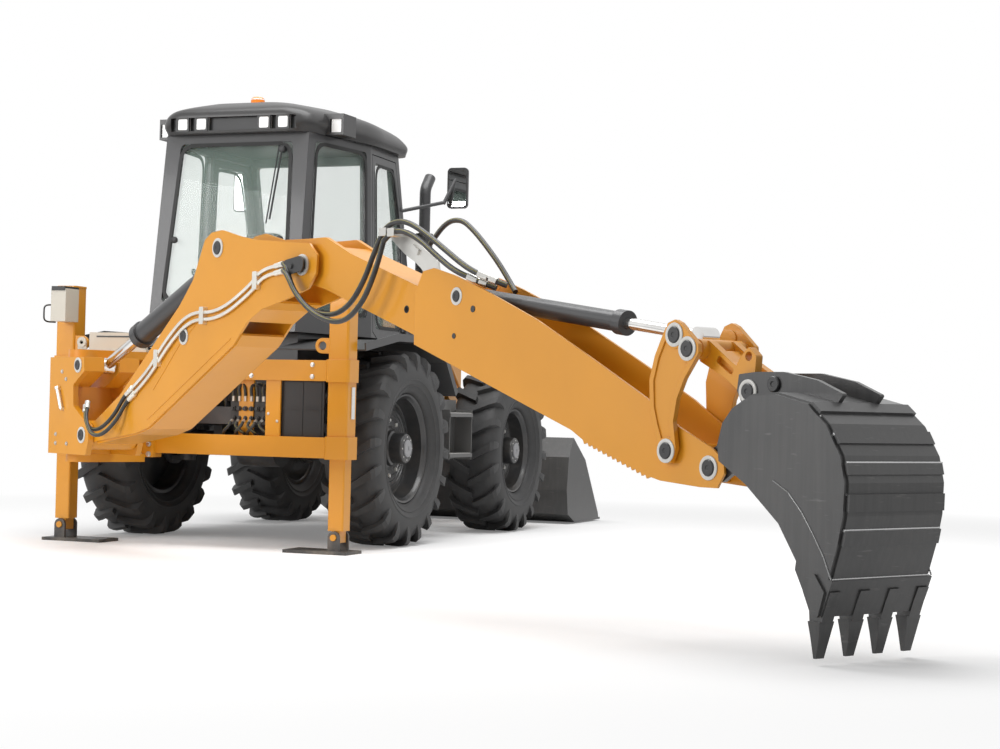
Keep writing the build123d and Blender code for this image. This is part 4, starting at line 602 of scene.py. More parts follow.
class Shape:
    """Solids of one finish that ride on one body, in one mesh."""

    def __init__(self):
        self.mesh = bmesh.new()

    def skin(self, rings, soft=0.0, closed=False):
        """Walls from each ring of points to the next, with a cap at both ends unless closed."""
        rows = [[self.mesh.verts.new(point) for point in loop] for loop in rings]
        count = len(rows[0])
        if closed:
            pairs = list(zip(rows, rows[1:] + rows[:1]))
        else:
            pairs = list(zip(rows, rows[1:]))
            self.mesh.faces.new(rows[0][::-1])
            self.mesh.faces.new(rows[-1])
        for low, high in pairs:
            for number in range(count):
                after = (number + 1) % count
                self.mesh.faces.new((low[number], low[after], high[after], high[number]))
        if soft:
            edges = {edge for row in rows for vert in row for edge in vert.link_edges}
            sharp = [edge for edge in edges if len(edge.link_faces) == 2]
            sharp = [edge for edge in sharp if edge.calc_face_angle(0) > radians(SOFTENED_TURN)]
            cut = {"offset": soft, "segments": 2, "affect": "EDGES", "clamp_overlap": True}
            bmesh.ops.bevel(self.mesh, geom=sharp, **cut)
        return self

    def rod(self, start, end, radius, sides=24):
        """A round bar; radius in millimetres."""
        return self.skin([circle(place, end - start, radius, sides) for place in (start, end)])

    def turned(self, centre, axis, profile, sides=48, closed=False):
        """A turned solid; the profile gives steps along the axis and radii, in millimetres."""
        axis = axis.normalized()
        rings = [circle(centre + axis * step / 1000, axis, radius, sides) for step, radius in profile]
        return self.skin(rings, closed=closed)

    def plate(self, outline, low, high, soft=0.0):
        """An outline in the arm's plane, as a plate between two distances across it."""
        return self.skin([[hoe(s, up, w) for s, up in outline] for w in (low, high)], soft)

    def block(self, xs, ys, zs, soft=0.0):
        """A box between two places on each axis, in millimetres."""
        return self.skin([[at(x, y, z) for x, y in oblong(xs, ys)] for z in zs], soft)

    def tube(self, points, radius, sides=12):
        """A bent tube on the smooth curve that the points pull; radius in millimetres."""
        rings = []
        side = None
        for point, run in along(points):
            side = run.orthogonal() if side is None else side - run * side.dot(run)
            side = side.normalized()
            rings.append(ring(point, side, run.cross(side), radius, sides))
        return self.skin(rings)

    def done(self, name, finish, body, sharp=SHARP_TURN):
        """Turns the mesh into an object with its finish, riding on its body."""
        bmesh.ops.recalc_face_normals(self.mesh, faces=self.mesh.faces)
        mesh = bpy.data.meshes.new(name)
        self.mesh.to_mesh(mesh)
        self.mesh.free()
        mesh.shade_smooth()
        mesh.set_sharp_from_angle(angle=radians(sharp))
        mesh.materials.append(finish)
        piece = linked(name, mesh)
        if body:
            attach(piece, body)
        return piece


def arc(start, pull, end, steps):
    """Points on a smooth arc from start to end, pulled towards a third point."""
    shares = [step / steps for step in range(steps + 1)]
    return [start * (1 - t) ** 2 + pull * (2 * t * (1 - t)) + end * t**2 for t in shares]


def pulled_curve(points, steps=8):
    """A smooth curve from the first point to the last, pulled towards those between."""
    path = [points[0]]
    middles = [(a + b) / 2 for a, b in zip(points, points[1:])]
    for start, pull, end in zip(middles, points[1:], middles[1:]):
        path += arc(start, pull, end, steps)
    path.append(points[-1])
    return path


def along(points):
    """The points of a pulled curve, each with the direction of the curve there."""
    path = pulled_curve(points)
    ends = zip(path[:1] + path, path[1:] + path[-1:])
    return [(point, (after - before).normalized()) for point, (before, after) in zip(path, ends)]


def rounded(outline, radius, steps=5):
    """An outline with its corners rounded, radius in millimetres."""
    count = len(outline)
    loop = []
    for number, (x, y) in enumerate(outline):
        corner = Vector((x, y))
        before = Vector(outline[number - 1])
        after = Vector(outline[(number + 1) % count])
        reach = min(radius, (before - corner).length * 0.45, (after - corner).length * 0.45)
        start = corner + (before - corner).normalized() * reach
        end = corner + (after - corner).normalized() * reach
        loop += arc(start, corner, end, steps)
    return loop


def oblong(xs, ys):
    """The four corners of an upright rectangle, in order."""
    return [(xs[0], ys[0]), (xs[1], ys[0]), (xs[1], ys[1]), (xs[0], ys[1])]


def tooled(piece, sharp):
    """Turns a piece with its modifiers into a plain mesh, smooth but for its sharp edges."""
    ready = piece.evaluated_get(bpy.context.evaluated_depsgraph_get())
    mesh = bpy.data.meshes.new_from_object(ready)
    piece.modifiers.clear()
    piece.data = mesh
    mesh.shade_smooth()
    mesh.set_sharp_from_angle(angle=radians(sharp))


print("Shape is ready")

# %% [markdown]
# ## Copies by Geometry Nodes
#
# Tyre lugs and bolts repeat many times. They are one item copied to a cloud of points, each point with
# its own turn. A small Geometry Nodes tree does the copying; its result is then read back as a plain
# mesh, so the riding piece keeps no modifier.

# %% The tree that copies an item to points
copies = bpy.data.node_groups.new("copies_on_points", "GeometryNodeTree")
for socket_name, kind in (("Spots", "Geometry"), ("Item", "Object"), ("Finish", "Material")):
    copies.interface.new_socket(socket_name, in_out="INPUT", socket_type=f"NodeSocket{kind}")
copies.interface.new_socket("Copies", in_out="OUTPUT", socket_type="NodeSocketGeometry")
steps = Recipe(copies)
given = copies.nodes.new("NodeGroupInput")
spots, item, coat = (Signal(steps, given.outputs[name]) for name in ("Spots", "Item", "Finish"))
shape = steps.add("GeometryNodeObjectInfo", None, {"Object": item}, "Geometry")
angles = steps.add("GeometryNodeInputNamedAttribute", {"data_type": "FLOAT_VECTOR"}, {"Name": "turn"})
turned = steps.add("FunctionNodeEulerToRotation", None, {"Euler": angles})
placed = steps.add(
    "GeometryNodeInstanceOnPoints", None, {"Points": spots, "Instance": shape, "Rotation": turned}
)
plain = steps.add("GeometryNodeRealizeInstances", None, {"Geometry": placed})
coated = steps.add("GeometryNodeSetMaterial", None, {"Geometry": plain, "Material": coat})
steps.add("NodeGroupOutput", None, {"Copies": coated})
socket_of = {entry.name: entry.identifier for entry in copies.interface.items_tree}


def repeat(name, item, spots, finish, body):
    """Copies the item to each spot, a matrix with its place and turn, as one riding mesh."""
    cloud = bpy.data.meshes.new(name)
    cloud.from_pydata([spot.to_translation() for spot in spots], [], [])
    turns = cloud.attributes.new("turn", "FLOAT_VECTOR", "POINT")
    for entry, spot in zip(turns.data, spots):
        entry.vector = spot.to_euler()
    piece = linked(name, cloud)
    copier = piece.modifiers.new("copies", "NODES")
    copier.node_group = copies
    copier[socket_of["Item"]] = item
    copier[socket_of["Finish"]] = finish
    tooled(piece, SHARP_TURN)
    bpy.data.objects.remove(item)
    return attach(piece, body)


def spots_round(centre, axis, radius, count, first=0.0):
    """Places round a circle, each with its Z along the axis and its X pointing outwards."""
    axis = axis.normalized()
    found = []
    for point in circle(centre, axis, radius, count, first):
        out = (point - centre).normalized()
        turn = Matrix((out, axis.cross(out), axis)).transposed().to_4x4()
        found.append(Matrix.Translation(point) @ turn)
    return found


def spots_on(points, axis):
    """Places at points, each with its Z along the axis."""
    turn = axis.to_track_quat("Z", "Y").to_matrix().to_4x4()
    return [Matrix.Translation(point) @ turn for point in points]


def bolt_item(size):
    """A hexagon screw on its washer, standing on Z; size is the thread's diameter in millimetres."""
    none = Vector((0, 0, 0))
    bolt = Shape().turned(none, UPWARD, [(0, size * 1.1), (size * 0.16, size * 1.1)], 20)
    head = [(size * 0.16, size * 0.86), (size * 0.62, size * 0.86), (size * 0.76, size * 0.7)]
    bolt.turned(none, UPWARD, head, 6)
    return bolt.done("bolt_item", zinc, None)


print("copies tree:", len(copies.nodes), "nodes")

# %% [markdown]
# ## Tyres
#
# A traction tyre has a round carcass and tall rubber lugs in two slanting rows that meet in a V.
# The carcass is turned from a profile. A lug is drawn once as seven cross-sections: it starts
# past the middle of the tread, grows wider to the shoulder, and runs down the side wall.

# %% Carcass and lugs
LUGS = 20
REAR_RIM = 372
FRONT_RIM = 322
LUG_ROWS = (
    # middle round the tyre, half-widths at base and top, base (w, drop), top (w, drop)
    (-62, 31, 23, (-8, 74), (-8, 0)),
    (-30, 32, 25, (60, 74), (60, 0)),
    (10, 34, 28, (130, 74), (130, 1)),
    (42, 37, 32, (182, 78), (186, 9)),
    (54, 38, 34, (184, 90), (210, 32)),
    (60, 36, 31, (190, 125), (218, 84)),
    (66, 30, 20, (190, 168), (208, 152)),
)


def lug_item(radius, hand):
    """One lug with the tyre's axle on Y, its tread at +X and its round direction on Z."""
    rings = []
    for middle, base_half, top_half, base, top in LUG_ROWS:
        section = []
        corners = ((-base_half, base), (-top_half, top), (top_half, top), (base_half, base))
        for half, (w, drop) in corners:
            angle = (middle + half) / radius
            reach = (radius - drop) / 1000
            section.append(Vector((reach * cos(angle), hand * w / 1000, reach * sin(angle))))
        rings.append(section)
    return Shape().skin(rings, soft=0.005).done("lug_item", tyre_rubber, None)


def tyre_profile(radius, rim):
    """Steps along the axle and radii, once round the tyre's wall."""
    tread = radius - 38
    middle = (tread + rim) / 2
    outer = [
        (60, tread), (118, tread - 1), (160, tread - 12), (190, tread - 40), (206, tread - 84),
        (212, middle + 12), (211, middle - 18), (214, middle - 20), (214, middle - 27),
        (209, middle - 29), (198, middle - 60), (201, middle - 63), (200, middle - 69),
        (194, middle - 71), (178, rim + 44), (158, rim + 27), (137, rim + 23), (136, rim + 1),
    ]
    return [(-w, r) for w, r in reversed(outer)] + outer


def wheel_facts(wheel):
    """A wheel's centre, outward direction, tyre radius, rim radius and body."""
    low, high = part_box(f"{wheel}_tyre")
    outward = LEFTWARD * (1 if "left" in wheel else -1)
    rim = REAR_RIM if "rear" in wheel else FRONT_RIM
    return (low + high) / 2, outward, (high.z - low.z) / 2 * 1000, rim, f"{wheel}_wheel"


for wheel in WHEELS:
    centre, outward, radius, rim, body = wheel_facts(wheel)
    carcass = Shape().turned(centre, outward, tyre_profile(radius, rim), 144, closed=True)
    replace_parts(carcass.done(f"{wheel}_carcass", tyre_rubber, body, 50), f"{wheel}_tyre")
    for hand, row in ((1, "outer"), (-1, "inner")):
        facing = Matrix.Rotation(0 if outward.y > 0 else pi, 4, "Z")
        half_step = pi / LUGS if hand < 0 else 0
        turns = [2 * pi * number / LUGS + half_step for number in range(LUGS)]
        spots = [Matrix.Translation(centre) @ facing @ Matrix.Rotation(turn, 4, "Y") for turn in turns]
        repeat(f"{wheel}_{row}_lugs", lug_item(radius, hand), spots, tyre_rubber, body)
print("tyres with", LUGS, "lugs a side")

# %% [markdown]
# ## Rims
#
# The wheel disc is a deep black dish with pressed rings. A circle of zinc nuts holds it to the hub,
# which stands out as a drum with a pale cap.

# %% Rims, nuts and hub caps
DRUM_RADIUS = 168
NUT_CIRCLE = {REAR_RIM: 200, FRONT_RIM: 186}
SCREW_CIRCLE = 82
NUTS_OUT, SCREWS_OUT, CAP_OUT = 0.020, 0.158, 0.162
CAP = [(-1, 62), (8, 62), (12, 56), (12, 16), (6, 14), (6, 6)]

for wheel in WHEELS:
    centre, outward, _, rim, body = wheel_facts(wheel)
    profile = [
        (162, 96), (156, 104), (146, 108), (66, 110), (58, 126), (34, 132), (28, 150), (20, 158),
    ]
    for share in (0.30, 0.56, 0.80):
        rib = DRUM_RADIUS + (rim - 60 - DRUM_RADIUS) * share
        profile += [(20, rib - 9), (27, rib - 4), (27, rib + 4), (20, rib + 9)]
    profile += [
        (18, rim - 56), (10, rim - 40), (14, rim - 26), (60, rim - 17), (118, rim - 14), (128, rim - 6),
        (140, rim - 2), (149, rim + 6), (150, rim + 16), (146, rim + 20), (138, rim + 20),
        (137, rim - 1), (-137, rim - 1), (-138, rim + 20), (-149, rim + 20), (-150, rim - 4),
        (-140, rim - 12), (0, rim - 14), (-4, 100), (84, 98),
    ]
    disc = Shape().turned(centre, outward, profile, 96)
    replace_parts(disc.done(f"{wheel}_disc", rim_paint, body, 30), f"{wheel}_rim")
    cap = Shape().turned(centre + outward * CAP_OUT, outward, CAP)
    cap.done(f"{wheel}_hub_cap", cap_paint, body, 30)
    nuts = spots_round(centre + outward * NUTS_OUT, outward, NUT_CIRCLE[rim], 10, 0.2)
    repeat(f"{wheel}_nuts", bolt_item(17), nuts, zinc, body)
    screws = spots_round(centre + outward * SCREWS_OUT, outward, SCREW_CIRCLE, 8)
    repeat(f"{wheel}_hub_screws", bolt_item(8), screws, zinc, body)
print("rims, nuts and hub caps on", len(WHEELS), "wheels")

# %% [markdown]
# ## Pins
#
# Each hinge pin of the arm ends in a black head inside a bright ring, because its machined collar is
# left unpainted. A table gives the place and the size of every pin, and one loop dresses both sides
# of the arm.

# %% Heads and rings on the arm's pins
RING_WIDTH = 20
PINS = (
    # body, place (s, up), distance across of the face and of the pin's end, pin radius
    ("boom", (1980, 1920), 160, 168, 38),
    ("boom", (1606, 1396), 160, 168, 32),
    ("dipper", (2900, 1780), 160, 172, 40),
    ("dipper_extension", (4305, 1562), 155, 159, 26),
    ("rocker_levers", (5885, 829), 190, 196, 34),
    ("rocker_levers", (6006, 1280), 190, 196, 34),
    ("rocker_levers", (5923, 1342), 190, 196, 34),
    ("hoe_bucket", (6117, 762), 155, 161, 34),
    ("hoe_bucket", (6320, 1096), 130, 138, 32),
    ("swing_tower", (386, 763), 204, 210, 34),
    ("swing_tower", (316, 1223), 204, 212, 30),
)
heads = {}
bands = {}
for body, place, face, end, radius in PINS:
    head = heads.setdefault(body, Shape())
    band = bands.setdefault(body, Shape())
    for side, _ in SIDES:
        centre = hoe(*place, side * face)
        length = end - face
        steps = [(0, radius + 3), (length + 1, radius + 3), (length + 5, radius - 1), (length + 5, 12)]
        head.turned(centre, ACROSS * side, steps + [(length + 2, 10)], 40)
        reach = radius + RING_WIDTH
        outer = [(0, radius + 3), (length - 1, radius + 3), (length, radius + 5), (length, reach - 3)]
        band.turned(centre, ACROSS * side, outer + [(length - 2, reach), (0, reach)], 48)
for body in heads:
    heads[body].done(f"{body}_pin_heads", black_steel, body)
    bands[body].done(f"{body}_pin_rings", ring_paint, body)
print("pins dressed:", 2 * len(PINS))

# %% [markdown]
# ## Pipes and hoses
#
# Two zinc pipes run up the boom's side. Black hoses join them to the tower, hang in two loops below
# the elbow, and go on over the outer dipper to the bucket cylinder. A hose has a thin yellow line
# printed along it: one row of its points carries a mark, and the hose finish reads that mark.

# %% Hose finish with its yellow line
LINE_FACES = ACROSS + UPWARD * 0.7
HOSE_SIDES = 14

lined = Finish("lined_hose")
mark = lined.add("ShaderNodeAttribute", {"attribute_name": "line"}, None, "Fac")
stripe = mark.between(0.80, 0.88)
cloudy = lined.noise(14.0, 3.0).between(0.3, 0.7)
hose_tone = lined.mix(cloudy, (0.018, 0.018, 0.019), (0.040, 0.040, 0.040))
hose_skin = lined.noise(260.0, 2.0)
lined_hose = lined.surface({
    "Base Color": lined.mix(stripe, hose_tone, (0.42, 0.36, 0.05)),
    "Roughness": 0.40 + (hose_skin - 0.5) * 0.1,
    "Normal": lined.bump(hose_skin, 0.05, 0.001),
})


def hose(name, routes, radius, joined, place=hoe):
    """Hoses along routes, as one piece that rides the named body, or rides no body when given a joint.

    The first point of each ring faces outwards and carries the mark 1, the others 0.
    """
    shape = Shape()
    marks = []
    for route in routes:
        rows = []
        for point, run in along([place(*entry) for entry in route]):
            out = (LINE_FACES - run * run.dot(LINE_FACES)).normalized()
            rows.append(ring(point, out, run.cross(out), radius, HOSE_SIDES))
        shape.skin(rows)
        marks += ([1.0] + [0.0] * (HOSE_SIDES - 1)) * len(rows)
    piece = shape.done(name, lined_hose, None, 60)
    line = piece.data.attributes.new("line", "FLOAT", "POINT")
    line.data.foreach_set("value", marks)
    if isinstance(joined, str):
        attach(piece, joined)
    else:
        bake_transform(piece)
    return piece


PIPE_ROUTES = (
    ((947, 1044), (1210, 1190), (1413, 1376), (1690, 1545), (2023, 1529), (2384, 1683), (2488, 1766),
     (2740, 1793)),
    ((980, 1012), (1235, 1160), (1440, 1340), (1706, 1500), (2040, 1490), (2410, 1650), (2510, 1728),
     (2740, 1752)),
)
FOOT_ROUTES = (
    ((470, 940, 222), (505, 860, 240), (600, 800, 250), (720, 810, 240), (830, 900, 206),
     (887, 1011, 176), (950, 1046, 176)),
    ((500, 960, 222), (545, 880, 262), (650, 770, 276), (780, 770, 262), (870, 860, 216),
     (919, 977, 176), (983, 1014, 176)),
)
ELBOW_ROUTES = (
    ((2730, 1793, 180), (2800, 1770, 204), (2880, 1640, 212), (3043, 1525, 216), (3270, 1478, 216),
     (3440, 1530, 212), (3560, 1660, 206), (3630, 1790, 200), (3684, 1878, 196)),
    ((2730, 1752, 180), (2840, 1735, 232), (2969, 1600, 244), (3173, 1480, 246), (3416, 1432, 244),
     (3590, 1530, 238), (3690, 1700, 226), (3738, 1866, 210)),
)
OUTER_ROUTES = (
    ((3684, 1878, 196), (3735, 1942, 194), (3830, 1968, 190), (3930, 1956, 188), (4076, 1892, 188),
     (4241, 1799, 186), (4402, 1704, 176), (4500, 1656, 140), (4600, 1612, 70)),
    ((3738, 1866, 210), (3800, 1908, 208), (3900, 1915, 206), (4040, 1864, 206), (4200, 1766, 204),
     (4330, 1690, 196), (4430, 1645, 150), (4530, 1600, 80)),
)
FAR_ROUTES = (
    ((3780, 1860, -60), (3870, 1984, -100), (3991, 1992, -110), (4095, 1929, -110), (4207, 1844, -105),
     (4334, 1735, -100), (4434, 1639, -90), (4500, 1590, -70)),
)
PIPE_SIDE = 176
CLAMPS = ((1310, 1265), (1850, 1518), (2440, 1708))
pipe_shape = Shape()
for route in PIPE_ROUTES:
    pipe_shape.tube([hoe(*place, PIPE_SIDE) for place in route], 11)
for s, up in CLAMPS:
    pipe_shape.plate(rounded(oblong((s - 24, s + 24), (up - 52, up + 52)), 8), 160, 190, soft=0.002)
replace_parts(pipe_shape.done("boom_side_pipes", pipe_metal, "boom"), "boom_pipes")
hose("tower_hoses", FOOT_ROUTES, 13, "boom")
elbow_joint = ("dipper", "dipper_extension", hoe(2960, 1600, 216), hoe(3560, 1700, 216))
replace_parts(hose("elbow_loops", ELBOW_ROUTES, 15, elbow_joint), "dipper_hoses")
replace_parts(hose("outer_hoses", OUTER_ROUTES, 15, "dipper_extension"), "extension_hoses")
hose("far_hoses", FAR_ROUTES, 14, "dipper_extension")
print("hoses:", len(FOOT_ROUTES) + len(ELBOW_ROUTES) + len(OUTER_ROUTES) + len(FAR_ROUTES))

# %% [markdown]
# Every hose ends in a crimped sleeve with a nut. The elbow has a black guide plate, and the hoses
# cross the outer dipper on a zinc bracket with two clamps.

# %% Sleeves, guide and bracket
BOOM_SLEEVES = (
    ((930, 1034, 176), (1010, 1079, 176)), ((962, 1002, 176), (1044, 1046, 176)),
    ((2640, 1782, 176), (2735, 1793, 176)), ((2640, 1741, 176), (2735, 1752, 176)),
)
TOWER_SLEEVES = (((462, 962, 218), (480, 915, 228)), ((490, 985, 218), (512, 938, 236)))
DIPPER_SLEEVES = (((4470, 1672, 152), (4560, 1630, 98)), ((4400, 1660, 164), (4490, 1618, 104)))
GUIDE = [(2770, 1716), (2960, 1742), (2975, 1790), (2940, 1828), (2770, 1806)]
BRACKET = [
    (3700, 1893), (3712, 1930), (3830, 1926), (3985, 1832), (4125, 1752), (4150, 1640), (4050, 1640),
    (3990, 1713), (3931, 1752), (3840, 1797),
]


def sleeves(places, radius, shape=None):
    """Crimped sleeves with their nuts, each between two places (s, up, w)."""
    shape = shape or Shape()
    for start, end in places:
        axis = hoe(*end) - hoe(*start)
        length = axis.length * 1000
        crimp = [(0, radius + 1), (2, radius + 4), (length * 0.5, radius + 4)]
        neck = [(length * 0.52, radius + 2), (length * 0.6, radius + 2)]
        nut = [(length * 0.62, radius + 6), (length - 2, radius + 6), (length, radius)]
        shape.turned(hoe(*start), axis, crimp + neck + nut, 24)
    return shape


sleeves(BOOM_SLEEVES, 12).done("boom_hose_sleeves", pipe_metal, "boom")
sleeves(TOWER_SLEEVES, 14).done("tower_hose_sleeves", zinc, "boom")
guide = Shape().plate(rounded(GUIDE, 30), 196, 206, soft=0.003)
guide.rod(hoe(2900, 1780, 172), hoe(2900, 1780, 198), 30)
guide.rod(hoe(2850, 1772, 200), hoe(2850, 1772, 214), 16)
guide.done("elbow_guide", black_steel, "dipper")
bracket = Shape().plate(rounded(BRACKET, 12), 131, 143, soft=0.002)
bracket.plate(rounded(oblong((3708, 3772), (1893, 1936)), 8), 131, 222, soft=0.003)
bracket.plate(rounded(oblong((3792, 3852), (1886, 1930)), 8), 131, 228, soft=0.003)
bracket.plate(rounded([(3900, 1820), (3960, 1785), (3975, 1812), (3915, 1848)], 6), 143, 156, soft=0.002)
sleeves(DIPPER_SLEEVES, 15, bracket).done("hose_bracket", zinc, "dipper_extension")
print("sleeves and bracket made")

# %% [markdown]
# ## The rear frame
#
# The slide frame carries small things that a plain solid lacks: bolt rows, a cream box and a hoop on
# the left leg, a white reflector, and a black panel with a bay of valves and hoses between the two
# beams. Most of them are plain blocks, so a table is enough.

# %% Blocks, bolts and hoop on the slide frame
BEAM_FACE = -1011
LEG_Y = 1040
BLOCKS = (
    # name, finish, body, then for each block its places forward, left and up, and its softened edge
    ("rear_panel", black_plastic, "chassis", [
        ((-975, -968), (-957, -640), (779, 1157), 0.002),
        ((-979, -975), (-939, -921), (790, 1146), 0.001),
        ((-979, -975), (-799, -781), (790, 1146), 0.001),
        ((-981, -975), (-957, -640), (966, 976), 0.001)]),
    ("beam_post", orange_paint, "chassis", [((-1002, -986), (-641, -531), (779, 1157), 0.006)]),
    ("leg_reflector", white_reflector, "chassis", [((-950, -905), (-1152, -1146), (905, 1120), 0.003)]),
    ("document_box", cream_paint, "chassis", [((-1180, -1016), (960, 1080), (1540, 1770), 0.008)]),
    ("document_box_lid", black_plastic, "chassis", [((-1186, -1010), (966, 1074), (1755, 1785), 0.010)]),
    # The cover's slot is a thin black strip: painted shade in its opening.
    ("carriage_cover_slot", black_steel, "carriage", [
        ((-1042, -1036), (470, 790), (1436, 1446), 0.002)]),
    ("lamp_fascia", black_plastic, "chassis", [((-566, -556), (-498, 498), (2935, 3025), 0.0)]),
)
for name, finish, body, parts in BLOCKS:
    shape = Shape()
    for xs, ys, zs, soft in parts:
        shape.block(xs, ys, zs, soft)
    shape.done(name, finish, body)


def bolts(name, size, points, axis, body):
    """Hexagon screws at points, with their heads along the axis."""
    repeat(name, bolt_item(size), spots_on(points, axis), zinc, body)


places = [(y, z) for y in (760, 850, 940, 1030) for z in (1185, 1268)]
places += [(y, z) for y in (-420, -880, -LEG_Y) for z in (1187, 1266)]
places += [(y, z) for y in (-LEG_Y, LEG_Y) for z in (668, 750)]
bolts("slide_frame_bolts", 15, [at(BEAM_FACE, y, z) for y, z in places], BACKWARD, "chassis")
bolts("post_bolts", 12, [at(-998, -552, 930), at(-998, -620, 880)], BACKWARD, "chassis")
bend = ((-1012, 1150, 1660), (-1095, 1190, 1660), (-1100, 1190, 1600), (-1095, 1190, 1540))
hoop = [at(*place) for place in (*bend, (-1012, 1150, 1540))]
Shape().tube(hoop, 6).done("leg_hoop", black_steel, "chassis")
print("blocks:", len(BLOCKS))

# %% Valves and hoses between the beams
VALVES = 6
VALVE_STEP = 46
VALVE_HEAD = [(0, 17), (22, 17), (24, 12), (42, 12)]
VALVE_PLUG = [(0, 15), (16, 15), (18, 9), (30, 9)]

bay = Shape().block((-940, -860), (-520, -230), (850, 1010), soft=0.010)
fittings = Shape()
bay_hoses = []
for number in range(VALVES):
    y = -490 + number * VALVE_STEP
    bay.turned(at(-940, y, 960), BACKWARD, VALVE_HEAD, 20)
    bay.turned(at(-940, y, 896), BACKWARD, VALVE_PLUG, 20)
    fittings.rod(at(-958, y, 1010), at(-958, y, 1050), 11, sides=6)
    fittings.rod(at(-970, y, 880), at(-988, y, 868), 11, sides=6)
    sway = 60 if number % 2 else -40
    bay_hoses.append((
        (-958, y, 1045), (-962, y + 6, 1120), (-900, y + sway, 1140), (-850, y + sway * 2, 1060),
        (-840, y + sway * 2, 960),
    ))
    bay_hoses.append((
        (-986, y, 868), (-1002, y + 8, 840), (-985, y + sway, 800), (-930, y + sway * 1.4, 770),
        (-880, y + sway * 1.6, 740),
    ))
bay.done("valve_bank", cast_iron, "chassis")
fittings.done("valve_fittings", pipe_metal, "chassis")
hose("valve_hoses", bay_hoses, 11, "chassis", at)
print("valve bay:", len(bay_hoses), "hoses")

# %% [markdown]
# The carriage that slides along the beams has a cream cover with an ear, and rows of screws hold its
# clamp blocks. The tower has a bright lock bar.

# %% Carriage and tower trim
CARRIAGE_FACE = -1047
TOWER_SIDE = 204
BAR_SIDE = 222

cover = Shape().block((-1046, -960), (385, 900), (1335, 1352), soft=0.004)
cover.block((-1040, -1000), (400, 850), (1352, 1470), soft=0.012)
cover.turned(at(-1046, 905, 1400), BACKWARD, [(0, 36), (8, 36), (8, 14), (-2, 14)], 32)
cover.block((-1046, -1038), (870, 940), (1350, 1405), soft=0.004)
cover.done("carriage_cover", cream_paint, "carriage")
places = [(y, z) for y in (345, 420, 495, 780, 850, 920) for z in (1235, 1302)]
places += [(y, z) for y in (345, 420, 850, 920) for z in (630, 700)]
bolts("carriage_bolts", 18, [at(CARRIAGE_FACE, y, z) for y, z in places], BACKWARD, "carriage")
places = ((20, 700), (20, 760), (180, 700), (90, 1180), (150, 1130))
bolts("tower_bolts", 13, [hoe(*place, TOWER_SIDE) for place in places], ACROSS, "swing_tower")
bar_top, bar_foot = (60, 1060), (120, 930)
lock = Shape().rod(hoe(*bar_top, BAR_SIDE), hoe(*bar_foot, BAR_SIDE), 13)
lock.rod(hoe(52, 1078, BAR_SIDE), hoe(*bar_top, BAR_SIDE), 18, sides=6)
for place in (bar_top, bar_foot):
    lock.rod(hoe(*place, TOWER_SIDE), hoe(*place, BAR_SIDE + 4), 9)
lock.done("tower_lock_bar", pipe_metal, "swing_tower")
print("rear trim made")

# %% [markdown]
# ## Cab trim
#
# Each window sits in a black rubber seal. The seal is an outline of the opening, drawn with rounded
# corners and laid on the wall, with a second outline a little inside it.


# %% Window seals
CORNER_REACH = 0.12


def frame_strip(corners, width, thick):
    """A flat frame round an opening given by corner points in order."""
    centre = sum(corners, Vector()) / len(corners)
    normal = (corners[1] - corners[0]).cross(corners[2] - corners[1]).normalized()
    count = len(corners)
    loops = []
    for inset in (0.0, width / 1000):
        loop = []
        for number, corner in enumerate(corners):
            before, after = corners[number - 1], corners[(number + 1) % count]
            to_before, to_after = (before - corner).normalized(), (after - corner).normalized()
            reach = CORNER_REACH - inset * 0.7
            point = corner + (to_before + to_after) * inset
            loop += arc(point + to_before * reach, point, point + to_after * reach, 6)
        loops.append(loop)
    lift = normal * thick / 1000
    outer, inner = loops
    return [outer, [p + lift for p in outer], [p + lift for p in inner], inner]


SILL_UP = 1500
EAVES_UP = 2915
POST_FEET = ((-700, 585), (270, 720), (1200, 660))
POST_TOPS = ((-523, 569.6), (270, 680), (860, 642))


def wall(x, z, side, off=0.0):
    """A point on the cab's outer wall at the height z, on its left (1) or right (-1) side."""
    share = (z - SILL_UP) / (EAVES_UP - SILL_UP)
    posts = [[a + (b - a) * share for a, b in zip(*ends)] for ends in zip(POST_FEET, POST_TOPS)]
    first, second = posts[:2] if x < posts[1][0] else posts[1:]
    y = first[1] + (second[1] - first[1]) * (x - first[0]) / (second[0] - first[0])
    return at(x, side * (y + 1), z) + LEFTWARD * side * off


def back_wall(y, z, off=0.0):
    """A point on the cab's rear wall."""
    share = (z - SILL_UP) / (EAVES_UP - SILL_UP)
    foot, top = POST_FEET[0][0], POST_TOPS[0][0]
    return at(foot + (top - foot) * share - 1, y, z) + BACKWARD * off


SIDE_WINDOW = ((-560, 1640), (215, 1640), (215, 2860), (-445, 2860))
REAR_WINDOW = ((500, 1700), (-500, 1700), (-448, 2850), (448, 2850))
DOOR_WINDOW = ((360, 1570), (900, 1570), (900, 2330), (758, 2800), (360, 2800))
SEAL_WIDTH, DOOR_SEAL_WIDTH, SEAL_THICK = 26, 24, 5

seals = Shape()
for side, _ in SIDES:
    corners = [wall(*place, side) for place in SIDE_WINDOW]
    seals.skin(frame_strip(corners, SEAL_WIDTH, SEAL_THICK * -side), closed=True)
corners = [back_wall(*place) for place in REAR_WINDOW]
seals.skin(frame_strip(corners, SEAL_WIDTH, SEAL_THICK), closed=True)
seals.done("window_seals", seal_rubber, "chassis")
for side, hand in SIDES:
    corners = [wall(*place, side) for place in DOOR_WINDOW]
    strip = frame_strip(corners, DOOR_SEAL_WIDTH, SEAL_THICK * -side)
    Shape().skin(strip, closed=True).done(f"door_{hand}_seal", seal_rubber, f"door_{hand}")
print("seals made")

# %% [markdown]
# The wiper, the lamp bezels, the lenses and the orange beacon are small, but they sit where the eye
# goes first.

